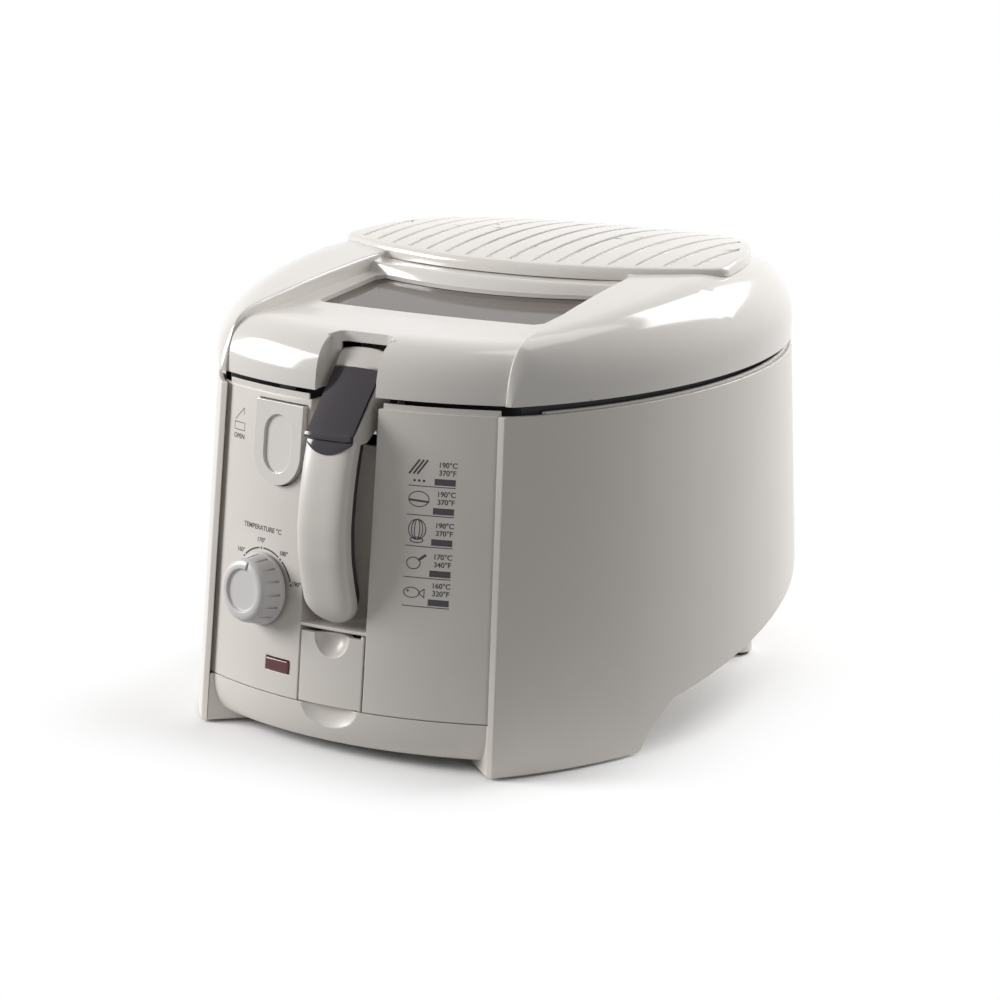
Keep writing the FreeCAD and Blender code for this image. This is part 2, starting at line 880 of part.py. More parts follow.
def make_bowl_frame():
    front = block((-FAR, -FAR, 0), (FAR, mm.neck_front, FAR))
    plate = column(mm.case_wall + mm.seat_gap, mm.frame_height, frame_top()).cut(front)
    plate = plate.cut(tilted(mm.bowl_radius + mm.bowl_wall + mm.seat_gap, 0, FAR))
    neck = neck_plug(0, mm.frame_height, mm.neck_height).cut(neck_plug(mm.neck_wall, 0, FAR))
    frame = plate.fuse(neck).cut(arm_gate(mm.channel_mouth_half_width))
    moulding("bowl_frame", frame.removeSplitter())


def bowl_cup(radius, foot, corner):
    """Round-cornered cup on the leaning axis, reaching past the rim."""
    cup = Part.makeCylinder(radius, FAR / 2, Vector(0, 0, foot), UP)
    floor = [edge for edge in cup.Edges if abs(edge.BoundBox.ZMax - foot) < SLACK]
    return placed(cup.makeFillet(corner, floor), bowl_place())


def make_bowl():
    wall = mm.bowl_wall
    bowl = bowl_cup(mm.bowl_radius + wall, -wall, mm.bowl_corner + wall).cut(
        bowl_cup(mm.bowl_radius, 0, mm.bowl_corner))
    top = frame_top() + wall
    bowl = bowl.cut(block((-FAR, -FAR, top), (FAR, FAR, 2 * FAR)))
    flange = rim_oval(mm.bowl_flange, frame_top(), top).cut(tilted(mm.bowl_radius, 0, FAR))
    bowl = bowl.fuse(flange).cut(arm_gate(mm.bowl_gate_half_width))
    bowl = bowl.cut(tilted(mm.bush_radius + mm.seat_gap, -FAR / 4, mm.bowl_corner))
    drain = placed(rod(mm.tube_bore, Vector(0, mm.spout_place, -FAR / 4), UP, FAR / 3), bowl_place())
    moulding("fryer_bowl", bowl.cut(drain).removeSplitter())


def make_heating_element():
    drop = mm.bowl_wall + mm.element_gap + mm.element_radius
    ring = primitive("Torus", Placement(Vector(0, 0, -drop), Rotation(UP, mm.element_start)),
                     Radius1=cell.element_ring, Radius2=cell.element_radius, Angle3=cell.element_span)
    ends = []
    for turn in (mm.element_start, mm.element_start + mm.element_span):
        angle = math.radians(turn)
        spot = Vector(math.cos(angle), math.sin(angle), 0) * mm.element_ring + Vector(0, 0, -drop)
        ends.append(primitive("Cylinder", Placement(spot, Rotation(Vector(1, 0, 0), 180)),
                              Radius=cell.element_radius, Height=cell.element_radius * 4))
    join("heating_element", [ring] + ends, bowl_datum())


def make_thermal_cutout():
    body = new_body("thermal_cutout", bowl_datum())
    top = -(cell.bowl_wall)
    disc = circle(new_sketch(body, "XY_Plane", top), cell.cutout_radius, ZERO, cell.cutout_place)
    grow(body, "Pad", disc, cell.cutout_height, backwards=True)
    half, place = cell.cutout_tab_half_width, cell.cutout_place
    tabs = rectangle(new_sketch(body, "XY_Plane", top - cell.cutout_height),
                     -half, place - cell.cutout_tab_half_wall, half, place + cell.cutout_tab_half_wall)
    grow(body, "Pad", tabs, cell.cutout_radius * 0.5, backwards=True)


# Drive under the bowl

def make_shaft_bush():
    bush = new_body("shaft_bush", bowl_datum())
    bore, outer = cell.shaft_radius + cell.shaft_run, cell.bush_radius
    flange, foot = outer + cell.bush_flange, -cell.motor_drop + cell.bush_end_gap
    outline(new_sketch(bush, "XZ_Plane"), [
        (bore, foot), (outer, foot), (outer, ZERO), (flange, ZERO), (flange, cell.bush_flange_wall),
        (outer, cell.bush_height), (bore, cell.bush_height)])
    turn_about(bush, "Revolution", bush.Group[0])


def make_drive_shaft():
    shaft = new_body("drive_shaft", bowl_datum())
    foot = -cell.motor_drop - cell.shaft_drop
    stem = circle(new_sketch(shaft, "XY_Plane", foot), cell.shaft_radius)
    grow(shaft, "Pad", stem, cell.shaft_top - foot)
    half, wide = cell.dog_length / 2, cell.dog_width / 2
    blade = rectangle(new_sketch(shaft, "XY_Plane", cell.shaft_top), -half, -wide, half, wide)
    grow(shaft, "Pad", blade, cell.ring_foot + cell.dog_lift)


def make_gear_motor():
    motor = new_body("gear_motor", bowl_datum())
    top = -cell.motor_drop
    can = circle(new_sketch(motor, "XY_Plane", top), cell.motor_radius)
    grow(motor, "Pad", can, cell.motor_height, backwards=True)
    bore = circle(new_sketch(motor, "XY_Plane", top), cell.shaft_radius + cell.shaft_run)
    grow(motor, "Pocket", bore, cell.motor_bore_depth)
    side, half = -cell.motor_radius, cell.terminal_half_width
    lugs = rectangle(new_sketch(motor, "XY_Plane", top), side - cell.terminal_reach, -half,
                     side + cell.terminal_root, half)
    motor.Tip = grow(motor, "Pad", lugs, cell.motor_height / 2, backwards=True)


def make_motor_bracket():
    bracket = new_body("motor_bracket", bowl_datum())
    top, wall = -cell.motor_drop, cell.bracket_wall
    span, half = cell.motor_radius + cell.bracket_reach, cell.bracket_half_width
    plate = rectangle(new_sketch(bracket, "XY_Plane", top), -span, -half, span, half)
    grow(bracket, "Pad", plate, wall)
    for side in (-1, 1):
        place = (span - cell.post_inset) * side
        post = circle(new_sketch(bracket, "XY_Plane", top + wall), cell.post_radius, place)
        grow(bracket, "Pad", post, cell.motor_drop - cell.bowl_wall - wall)
    hole = circle(new_sketch(bracket, "XY_Plane", top), cell.bush_radius + cell.seat_gap)
    grow(bracket, "Pocket", hole, wall * 2, both_ways=True)


# Basket and carrier, both on the bowl's axis

# Share of a corner's radius from its edges to the middle of its arc
ARC_INSET = 0.293


def make_basket():
    basket = new_body("basket", bowl_datum())
    foot, wall, corner = cell.basket_foot, cell.basket_wall, cell.basket_corner
    outer, top = cell.basket_radius, cell.basket_foot + cell.basket_height
    rim, inner, bend = cell.basket_rim, corner - wall, corner * ARC_INSET
    inner_bend = inner * ARC_INSET
    outline(new_sketch(basket, "XZ_Plane"), [
        (ZERO, foot), (outer - corner, foot, (outer - bend, foot + bend)),
        (outer, foot + corner), (outer, top - rim * 2), (outer + rim, top - rim * 2), (outer + rim, top),
        (outer - wall, top),
        (outer - wall, foot + corner, (outer - wall - inner_bend, foot + wall + inner_bend)),
        (outer - corner, foot + wall), (ZERO, foot + wall)])
    turn_about(basket, "Revolution", basket.Group[0])
    half = cell.basket_slot_width / 2
    slot = rectangle(new_sketch(basket, "XZ_Plane"), -half, foot + cell.basket_slot_foot,
                     half, top - rim * 2 - cell.basket_slot_head)
    cut = grow(basket, "Pocket", slot, cell.bowl_radius)
    repeat_round(basket, cut, cell.basket_slots)


def make_basket_hub():
    hub = new_body("basket_hub", bowl_datum())
    core, foot, top = cell.hub_bore - cell.hub_run, cell.hub_foot, cell.basket_foot
    seat, flange = cell.ring_foot + cell.ring_height + cell.hub_gap, core + cell.hub_flange
    outline(new_sketch(hub, "XZ_Plane"), [
        (ZERO, foot), (core, foot), (core, seat), (flange, seat), (flange, top), (ZERO, top)])
    turn_about(hub, "Revolution", hub.Group[0])
    half, wide = cell.dog_length / 2 + cell.dog_gap, cell.dog_width / 2 + cell.dog_gap
    socket = rectangle(new_sketch(hub, "XY_Plane"), -half, -wide, half, wide)
    grow(hub, "Pocket", socket, cell.socket_top, backwards=True)


def crank_spot(angle):
    """Place of the crank pin in the middle plane for an angle below the level of the pivot."""
    turn = math.radians(angle)
    depth, height = mm.crank_radius * math.cos(turn), mm.crank_radius * math.sin(turn)
    return mm.pivot_depth - depth, mm.pivot_height - height


def lift_travel():
    """Travel of the basket along the bowl's axis for the full swing of the handle."""
    low, high = crank_spot(mm.crank_angle), crank_spot(mm.crank_angle - mm.handle_swing)
    return (high[1] - low[1]) / math.cos(math.radians(mm.bowl_tilt))


def make_carrier():
    reach, level = crank_spot(mm.crank_angle)
    slack = mm.crank_pin_radius + mm.slot_slack
    bulge = mm.crank_radius * (1 - math.cos(math.radians(mm.crank_angle)))
    slot_front, slot_back = reach - bulge / 2 - slack, reach + bulge / 4 + slack
    top = level + slack + mm.arm_wall
    strap = -(mm.basket_radius + mm.basket_rim + mm.strap_gap)
    lean = math.radians(mm.bowl_tilt)
    climb = (mm.arm_top - mm.bowl_height - strap * math.sin(lean)) / math.cos(lean)
    heel = mm.bowl_depth + strap * math.cos(lean) - climb * math.sin(lean)
    arm = prism([
        (slot_front - mm.arm_wall, level - slack - mm.arm_wall),
        (slot_back + mm.arm_wall, level - slack - mm.arm_wall), (slot_back + mm.arm_wall * 2, mm.arm_foot),
        (heel + mm.strap_wall, mm.arm_foot), (heel, mm.arm_top), (slot_back + 3 * mm.arm_wall, mm.arm_top),
        (slot_back + mm.arm_wall, top), (slot_front + mm.arm_wall, top), (slot_front - mm.arm_wall, level),
    ], -mm.arm_half_width, mm.arm_half_width)
    slot = prism([(slot_front, level - slack), (slot_back, level - slack), (slot_back, level + slack),
                  (slot_front, level + slack)], -FAR, FAR)
    foot, high = mm.ring_foot, mm.ring_foot + mm.ring_height
    hanger = prism([(strap - mm.strap_wall, foot), (0, foot), (0, foot + mm.strap_wall),
                    (strap, foot + mm.strap_wall), (strap, climb), (strap - mm.strap_wall, climb)],
                   -mm.arm_half_width, mm.arm_half_width)
    ring = Part.makeCylinder(mm.hub_bore + mm.ring_wall, mm.ring_height, Vector(0, 0, foot), UP)
    bore = Part.makeCylinder(mm.hub_bore, FAR, Vector(0, 0, -FAR / 2), UP)
    lower = placed(hanger.fuse(ring).cut(bore), bowl_place())
    moulding("basket_carrier", arm.cut(slot).fuse(lower).removeSplitter())


# Handle

def polar(radius, angle):
    """Point on a circle about the handle's pivot, as bound coordinates."""
    turn = math.radians(angle)
    return (cell.pivot_depth + radius * math.cos(turn), cell.pivot_height + radius * math.sin(turn))


# Angles about the pivot: the drum's band, how far its lining stops short, and the hub's round
BAND_START, BAND_MIDDLE, BAND_END, BAND_TRIM = 117, 136, 155, 6
HUB_START, HUB_MIDDLE, HUB_END = 290, 0, 80


def stem_points(drop):
    """Ends of a line under the stem's sloping top face, at a depth below it."""
    top = polar(cell.drum_radius, BAND_END)
    run = float(cell.stem_end_depth) - float(top[0])
    fall = float(cell.stem_end_height) - float(top[1])
    length = math.hypot(run, fall)
    inward = (-fall / length, run / length)
    low = (cell.stem_end_depth, cell.stem_end_height)
    return [(point[0] + drop * inward[0], point[1] + drop * inward[1]) for point in (top, low)]


def grip_line(inset):
    """Upper end, middle and lower end of a bowed line along the grip, at a depth behind its face."""
    upper = (cell.stem_end_depth + inset - cell.grip_start_lead,
             cell.stem_end_height - inset * cell.grip_start_slope - cell.grip_start_drop)
    middle = (cell.grip_bulge + inset, cell.grip_bulge_height)
    lower = (cell.grip_bulge + inset + cell.grip_tip_setback, cell.grip_tip_height + cell.grip_tip_length)
    return upper, middle, lower


def crank_pin_place():
    """Place of the crank pin at rest, as bound coordinates."""
    depth, height = crank_spot(mm.crank_angle)
    return cell.pivot_depth - (mm.pivot_depth - depth), cell.pivot_height - (mm.pivot_height - height)


def grip_outline(body):
    """Side outline of the drum, the stem under the slider, the grip and the hub."""
    top, low = stem_points(cell.slider_wall + cell.slider_gap)
    upper, middle, lower = grip_line(ZERO)
    back_upper, back_middle, back_lower = grip_line(cell.grip_wall)
    tip = ((lower[0] + back_lower[0]) / 2, cell.grip_tip_height)
    pin, drum, hub = crank_pin_place(), cell.drum_radius, cell.hub_radius
    return outline(new_sketch(body, "YZ_Plane"), [
        (*polar(drum, BAND_START), polar(drum, BAND_MIDDLE)), polar(drum, BAND_END), top, low,
        (*upper, middle), (*lower, tip), (*back_lower, back_middle), back_upper,
        (pin[0] + cell.crank_boss_front, pin[1] - cell.crank_boss_drop),
        (pin[0] + cell.crank_boss_rear, pin[1] - cell.crank_boss_rise),
        (*polar(hub, HUB_START), polar(hub, HUB_MIDDLE)), polar(hub, HUB_END)])


def fork_outline(body):
    """Side outline of the room between the two cheeks of the handle."""
    inside, rear = cell.drum_radius - cell.drum_wall, cell.pivot_depth + cell.fork_reach
    shelf = stem_points(cell.slider_wall + cell.slider_gap + cell.drum_wall)[1]
    return outline(new_sketch(body, "YZ_Plane"), [
        (*polar(inside, BAND_START), polar(inside, BAND_MIDDLE)), polar(inside, BAND_END - BAND_TRIM),
        (shelf[0] + cell.shelf_inset, shelf[1] + cell.shelf_rise),
        (shelf[0] + cell.shelf_back, shelf[1] - cell.shelf_drop),
        (rear, shelf[1] - cell.fork_drop), (rear, cell.pivot_height + cell.fork_reach),
        polar(cell.drum_radius + cell.drum_margin, BAND_START - BAND_TRIM)])


def round_grip(body):
    """Round the front edges of the grip and the corners of its lower end."""
    doc.recompute()
    base = body.Tip
    front = [f"Edge{index}" for index, edge in enumerate(base.Shape.Edges, start=1)
             if abs(abs(edge.CenterOfMass.x) - mm.handle_half_width) < SLACK
             and edge.BoundBox.XLength < SLACK and edge.CenterOfMass.y < mm.stem_end_depth + 1
             and edge.CenterOfMass.z < mm.stem_end_height - mm.grip_start_drop]
    fillet = body.newObject("PartDesign::Fillet", "grip_fillet")
    fillet.Base = (base, front)
    bind(fillet, "Radius", cell.grip_round)
    half, foot, turn = cell.handle_half_width, cell.grip_tip_height, cell.grip_corner
    near = turn * (1 - math.sqrt(0.5))
    for side in (-1, 1):
        corner = outline(new_sketch(body, "XZ_Plane"), [
            (half * side, foot + turn, ((half - near) * side, foot + near)), ((half - turn) * side, foot),
            ((half - turn) * side, foot - turn), ((half + turn) * side, foot - turn),
            ((half + turn) * side, foot + turn)])
        grow(body, "Pocket", corner, cell.front_radius, both_ways=True)


def make_handle_grip():
    body = new_body("handle_grip")
    fork = cell.fork_half_gap * 2
    grow(body, "Pad", grip_outline(body), cell.handle_half_width * 2, both_ways=True)
    grow(body, "Pocket", fork_outline(body), fork, both_ways=True)
    trunnion = circle(new_sketch(body, "YZ_Plane"), cell.trunnion_radius, *polar(ZERO, 0))
    reach = cell.handle_half_width + cell.ear_gap + cell.ear_wall
    grow(body, "Pad", trunnion, reach * 2, both_ways=True)
    clear = cell.hub_radius + cell.fork_clear
    middle = outline(new_sketch(body, "YZ_Plane"), [polar(clear, 360 * index / 3) for index in range(3)])
    grow(body, "Pocket", middle, fork, both_ways=True)
    bore = cell.crank_pin_radius + cell.crank_pin_run
    pin_hole = circle(new_sketch(body, "YZ_Plane"), bore, *crank_pin_place())
    grow(body, "Pocket", pin_hole, cell.crank_pin_length, both_ways=True)
    round_grip(body)


def make_handle_back():
    back = new_body("handle_back")
    upper, middle, lower = grip_line(cell.grip_wall)
    rear_upper, rear_middle, rear_lower = grip_line(cell.grip_wall + cell.grip_back_wall)
    outline(new_sketch(back, "YZ_Plane"), [
        (*upper, middle), lower, (*rear_lower, rear_middle), rear_upper])
    grow(back, "Pad", back.Group[0], (cell.handle_half_width - cell.grip_back_inset) * 2, both_ways=True)


def make_handle_pin():
    pin = new_body("handle_pin")
    section = circle(new_sketch(pin, "YZ_Plane"), cell.crank_pin_radius, *crank_pin_place())
    grow(pin, "Pad", section, cell.crank_pin_length, both_ways=True)


def make_handle_slider():
    body = new_body("handle_slider")
    top, low = stem_points(ZERO)
    under_top, under_low = stem_points(cell.slider_wall)
    start = cell.slider_start
    outline(new_sketch(body, "YZ_Plane"), [
        (top[0] - start, top[1] - start), low, (low[0] - cell.lip_reach, low[1] - cell.lip_drop),
        (low[0] - cell.lip_tip_reach, low[1] - cell.lip_tip_drop),
        (under_low[0] - cell.lip_root_reach, under_low[1] - cell.lip_root_drop),
        under_low, (under_top[0] - start, under_top[1] - start)])
    grow(body, "Pad", body.Group[0], (cell.handle_half_width - cell.slider_side_gap) * 2, both_ways=True)


def make_handle_bracket():
    body = new_body("handle_bracket")
    face = cell.channel_floor + cell.channel_wall
    foot = cell.channel_mouth_foot - cell.ear_drop
    inner = cell.handle_half_width + cell.ear_gap
    ear, depth, height = cell.trunnion_radius + cell.ear_round, cell.pivot_depth, cell.pivot_height
    outline(new_sketch(body, "YZ_Plane"), [
        (face, foot), (face + cell.ear_plate, foot), (depth + ear, height - ear),
        (depth + ear, height, (depth, height + ear)), (depth - ear, height), (depth - ear, height - ear),
        (face, foot + cell.ear_rise)])
    grow(body, "Pad", body.Group[0], (inner + cell.ear_wall) * 2, both_ways=True)
    gap = rectangle(new_sketch(body, "YZ_Plane"), ZERO, foot + cell.ear_floor, depth * 2, height + ear * 2)
    grow(body, "Pocket", gap, inner * 2, both_ways=True)
    hole = circle(new_sketch(body, "YZ_Plane"), cell.trunnion_radius + cell.trunnion_run, depth, height)
    grow(body, "Pocket", hole, (inner + cell.ear_wall) * 3, both_ways=True)


# Lid

# Rise of the shoulders above the lid's lower edge, at shares of the lid's length from front to rear
LID_RISE = ((0.0, 5.0), (0.0095, 18.0), (0.027, 23.2), (0.051, 27.0), (0.095, 31.5), (0.148, 35.0),
            (0.21, 38.5), (0.273, 41.0), (0.394, 45.0), (0.524, 47.0), (0.672, 46.5), (0.82, 41.0),
            (0.923, 31.0), (0.968, 24.0), (1.0, 17.0))

# Most that the shoulder's bend may take of the rise and of half the width
BEND_OF_RISE, BEND_OF_WIDTH = 0.8, 0.6


def lid_front():
    return mm.rim_setback + mm.lid_lead


def lid_top(depth):
    """Height of the shoulders along the lid: steep at the front, crowned, falling to the hinge."""
    place = (depth - lid_front()) / (mm.lid_rear - lid_front())
    for (low, rise), (high, next_rise) in zip(LID_RISE, LID_RISE[1:]):
        if place <= high:
            return mm.lid_foot + rise + (next_rise - rise) * (place - low) / (high - low)
    return mm.lid_foot + LID_RISE[-1][1]


def lid_section(depth, inset, foot):
    """Arch across the lid at a depth."""
    share = (depth - mm.rim_centre) / mm.rim_half_depth
    half = mm.rim_half_width * math.sqrt(1 - share * share) - inset
    top = lid_top(depth) - inset
    rise = top + inset - mm.lid_foot
    bend = min(mm.shoulder_radius, BEND_OF_RISE * rise, BEND_OF_WIDTH * half) - inset / 2
    corner, level = bend * (1 - math.sqrt(0.5)), top - bend
    left, right = Vector(-half + corner, depth, top - corner), Vector(half - corner, depth, top - corner)
    a, b, c = Vector(-half, depth, foot), Vector(-half, depth, level), Vector(-half + bend, depth, top)
    d, e, f = Vector(half - bend, depth, top), Vector(half, depth, level), Vector(half, depth, foot)
    return Part.Wire([
        Part.LineSegment(a, b).toShape(), Part.Arc(b, left, c).toShape(), Part.LineSegment(c, d).toShape(),
        Part.Arc(d, right, e).toShape(), Part.LineSegment(e, f).toShape(), Part.LineSegment(f, a).toShape()])


def lid_dome(inset, foot):
    """Crowned lid without its centre band: a short nose, then one smooth crown."""
    front, length = lid_front() + inset, mm.lid_rear - lid_front() - 2 * inset
    sections = [lid_section(front + share * length, inset, foot) for share, _ in LID_RISE]
    nose = Part.makeLoft(sections[:2], True, True)
    return nose.fuse(Part.makeLoft(sections[1:], True, False))


def ridge_wedge(inset, low):
    """Plan wedge between the inner edges of the two shoulders."""
    front, rear = mm.ridge_front + inset, mm.ridge_rear + inset
    back = mm.band_rear - inset
    corners = [Vector(-front, -FAR, low), Vector(front, -FAR, low), Vector(front, mm.rim_setback, low),
               Vector(rear, back, low), Vector(-rear, back, low), Vector(-front, mm.rim_setback, low)]
    return Part.Face(Part.makePolygon(corners + corners[:1])).extrude(Vector(0, 0, FAR))


def band_start():
    """Depth at which the flat front of the band turns into its rising top."""
    return mm.window_front - 3 * mm.window_lap


def band_level(depth):
    """Height of the band's rising top at a depth."""
    slope = (mm.band_rear_height - mm.band_height) / (mm.band_rear - band_start())
    return mm.band_height + slope * (depth - band_start())


def band_solid(inset, foot):
    """Centre band of the lid: bowed front that rolls over to a gently rising top."""
    centre = mm.band_front + mm.front_radius
    radius, top = mm.front_radius - inset, mm.band_height - inset
    axis_foot, axis_top = Vector(0, 0, foot), Vector(0, 0, top)
    edge_foot, edge_top = Vector(radius, 0, foot), Vector(radius, 0, mm.lid_foot + mm.band_lip)
    bend = Vector(radius - mm.roll_inset, 0, top - mm.roll_drop)
    inner = Vector(radius - mm.band_roll, 0, top)
    edges = [
        Part.LineSegment(axis_foot, edge_foot).toShape(), Part.LineSegment(edge_foot, edge_top).toShape(),
        Part.Arc(edge_top, bend, inner).toShape(), Part.LineSegment(inner, axis_top).toShape(),
        Part.LineSegment(axis_top, axis_foot).toShape(),
    ]
    dome = Part.Face(Part.Wire(edges)).revolve(Vector(0, 0, 0), UP, 360)
    dome.translate(Vector(0, centre, 0))
    start, rear = band_start(), mm.band_rear + inset
    rise = prism([(start, foot), (rear, foot), (rear, band_level(rear) - inset), (start, top)], -FAR, FAR)
    return dome.fuse(rise)


def lid_solid(inset, foot):
    """Whole outer or inner form of the lid."""
    shoulders = lid_dome(inset, foot).cut(ridge_wedge(inset, foot - 1))
    return shoulders.fuse(band_solid(inset, foot).common(ridge_wedge(inset, foot)))


def window_prism(margin, low, high):
    """Slab in the plane of the window, between two depths below the band's top."""
    front, rear = mm.window_front - margin, mm.window_rear + margin
    corners = [(front, band_level(front) - low), (rear, band_level(rear) - low),
               (rear, band_level(rear) - high), (front, band_level(front) - high)]
    slab = prism(corners, -mm.window_half_width - margin, mm.window_half_width + margin)
    upright = [edge for edge in slab.Edges
               if edge.BoundBox.XLength < SLACK and edge.BoundBox.YLength < SLACK]
    return slab.makeFillet(mm.window_lap + margin, upright)


def notch():
    """Opening in the front of the lid that clears the handle's drum through its whole swing."""
    half, drum = mm.notch_half_width, mm.drum_radius + mm.notch_gap
    back, centre = mm.pivot_depth - mm.notch_reach, mm.band_height + mm.notch_rise - half
    drum_room = rod(drum, Vector(-half, mm.pivot_depth, mm.pivot_height), RIGHT, 2 * half)
    mouth = block((-half, -FAR, 0), (half, back, centre))
    arch = rod(half, Vector(0, -FAR, centre), BACK, FAR + back)
    below = block((-half, -FAR, 0), (half, mm.pivot_depth + drum, mm.pivot_height))
    return mouth.fuse(arch).fuse(drum_room).fuse(below)


def filter_hole(margin, low, high):
    half = mm.filter_half_width + margin
    return block((-half, mm.filter_front - margin, low), (half, mm.filter_rear + margin, high))


def lid_knuckles():
    """Two hinge arms and barrels behind the lid."""
    axis = Vector(0, mm.hinge_depth, mm.hinge_height)
    low, high = mm.knuckle_inner + mm.knuckle_gap, mm.knuckle_outer - mm.knuckle_gap
    root = mm.lid_rear - mm.hinge_arm_root
    arms = []
    for start in (-high, low):
        barrel = rod(mm.hinge_radius, axis + RIGHT * start, RIGHT, high - low)
        arm = prism([(root, mm.lid_foot), (mm.hinge_depth, mm.hinge_height + mm.hinge_arm_lift),
                     (mm.hinge_depth, mm.hinge_height + mm.hinge_radius),
                     (root, mm.lid_foot + mm.hinge_arm_height)], start, start + high - low)
        arms.append(barrel.fuse(arm))
    return arms


def hinge_bore(radius):
    length = 4 * mm.hinge_half_length
    return rod(radius, Vector(-length / 2, mm.hinge_depth, mm.hinge_height), RIGHT, length)


def make_lid_shell():
    shell = lid_solid(0, mm.lid_foot)
    for arm in lid_knuckles():
        shell = shell.fuse(arm)
    shell = shell.cut(lid_solid(mm.lid_wall, mm.lid_foot - 1)).cut(notch())
    shell = shell.cut(window_prism(0, -REACH, REACH / 2))
    shell = shell.cut(filter_hole(mm.tray_wall + mm.seat_gap, mm.filter_foot, FAR))
    moulding("lid_shell", shell.cut(hinge_bore(mm.hinge_pin_radius + mm.hinge_run)).removeSplitter())


def make_window():
    lap, wall = mm.window_lap, mm.lid_wall
    gasket = window_prism(lap, wall, wall + mm.gasket_wall).cut(window_prism(-1, -REACH, REACH))
    moulding("window_gasket", gasket)
    low = wall + mm.gasket_wall
    moulding("viewing_window", window_prism(lap, low, low + mm.window_wall))


def drum_gap():
    """Room that the handle's drum and ears need in the rings under the lid."""
    half = mm.notch_half_width + mm.ear_wall
    return block((-half, -FAR, 0), (half, mm.pivot_depth + mm.drum_radius + mm.ear_wall, FAR))


def make_lid_liner():
    low, high = mm.liner_height, mm.liner_height + mm.liner_wall
    rows = block((-FAR, mm.neck_front - mm.seal_width, low), (FAR, FAR, high))
    liner = lid_solid(mm.lid_wall, mm.lid_foot - 1).common(rows)
    moulding("lid_liner", liner.cut(neck_plug(mm.liner_width, 0, FAR)).cut(drum_gap()).removeSplitter())


def make_lid_seal():
    low, high = mm.seal_height, mm.liner_height
    lap = (mm.seal_width - mm.neck_wall) / 2
    ring = neck_plug(-lap, low, high).cut(neck_plug(mm.neck_wall + lap, 0, FAR))
    moulding("lid_seal", ring.cut(drum_gap()).removeSplitter())


def make_lid_catch():
    """Striker tongue that hangs from the front of the lid down behind the panel."""
    half, place = mm.catch_half_width, mm.button_place
    edge = mm.front_radius - mm.lid_wall
    wall = mm.band_front + mm.front_radius - math.sqrt(edge ** 2 - (abs(place) - half) ** 2)
    near, far = wall + mm.catch_stand, wall + mm.catch_stand + mm.catch_wall
    tongue = block((place - half, near, mm.catch_foot), (place + half, far, mm.lid_foot + mm.catch_wall))
    hook = block((place - half, near, mm.catch_foot),
                 (place + half, far + mm.catch_hook, mm.catch_foot + mm.catch_wall))
    root = block((place - half, wall - mm.lid_wall, mm.lid_foot),
                 (place + half, far, mm.lid_foot + mm.catch_root))
    root = root.common(lid_solid(mm.lid_wall, mm.lid_foot - 1))
    moulding("lid_catch", tongue.fuse(hook).fuse(root).removeSplitter())


def lid_skin():
    """Thickness of the lid's wall, for pieces that sit against the inside."""
    return lid_solid(0, mm.lid_foot).cut(lid_solid(mm.lid_wall, mm.lid_foot - 1))


def make_hinge():
    half, height, radius = mm.hinge_half_length, mm.hinge_height, mm.hinge_radius
    axis, post = Vector(0, mm.hinge_depth, height), mm.hinge_post
    near, far = mm.hinge_depth - post, mm.hinge_depth + post
    foot, level = mm.frame_height - mm.hinge_plate_drop, height - radius - mm.hinge_plate_gap
    back = prism([(mm.rim_centre, foot), (near, foot), (far, foot + mm.hinge_plate_rise), (far, level),
                  (mm.rim_centre, level)], -half, half)
    bracket = back.cut(column(-mm.seat_gap, 0, mm.rim_height + REACH))
    inner, outer = mm.knuckle_inner, mm.knuckle_outer
    for low, high in ((-half, -outer), (-inner, inner), (outer, half)):
        web = prism([(near, height - radius - post), (far, height - radius - post), (far, height),
                     (near, height)], low, high)
        bracket = bracket.fuse(rod(radius, axis + RIGHT * low, RIGHT, high - low)).fuse(web)
    bore = hinge_bore(mm.hinge_pin_radius + mm.hinge_run / 2)
    moulding("hinge_bracket", bracket.cut(bore).removeSplitter())
    pin = new_body("hinge_pin")
    section = circle(new_sketch(pin, "YZ_Plane"), cell.hinge_pin_radius, cell.hinge_depth, cell.hinge_height)
    grow(pin, "Pad", section, cell.hinge_half_length * 2, both_ways=True)


# Filters

def cover_rear():
    return mm.rim_centre + mm.cover_half_depth


def cover_outline(inset, low, high):
    """Half oval of the cover, straight along its front edge, drawn in by an inset."""
    wide, deep = mm.cover_half_width - inset, mm.cover_half_depth - inset
    centre = Vector(0, mm.rim_centre, low)
    curve = Part.Ellipse(centre + Vector(0, deep, 0), centre + Vector(wide, 0, 0), centre)
    solid = Part.Face(Part.Wire([curve.toShape()])).extrude(Vector(0, 0, high - low))
    return solid.common(block((-FAR, mm.cover_front + inset, low), (FAR, FAR, high)))


def cover_crown(drop):
    """Side outline of everything under the cover's crowned top, at a depth below it."""
    front, rear = mm.cover_front - 1, cover_rear() + 1
    return [(front, mm.cover_front_height - drop, ((front + rear) / 2, mm.cover_crown - drop)),
            (rear, mm.cover_rear_height - drop), (rear, 0), (front, 0)]


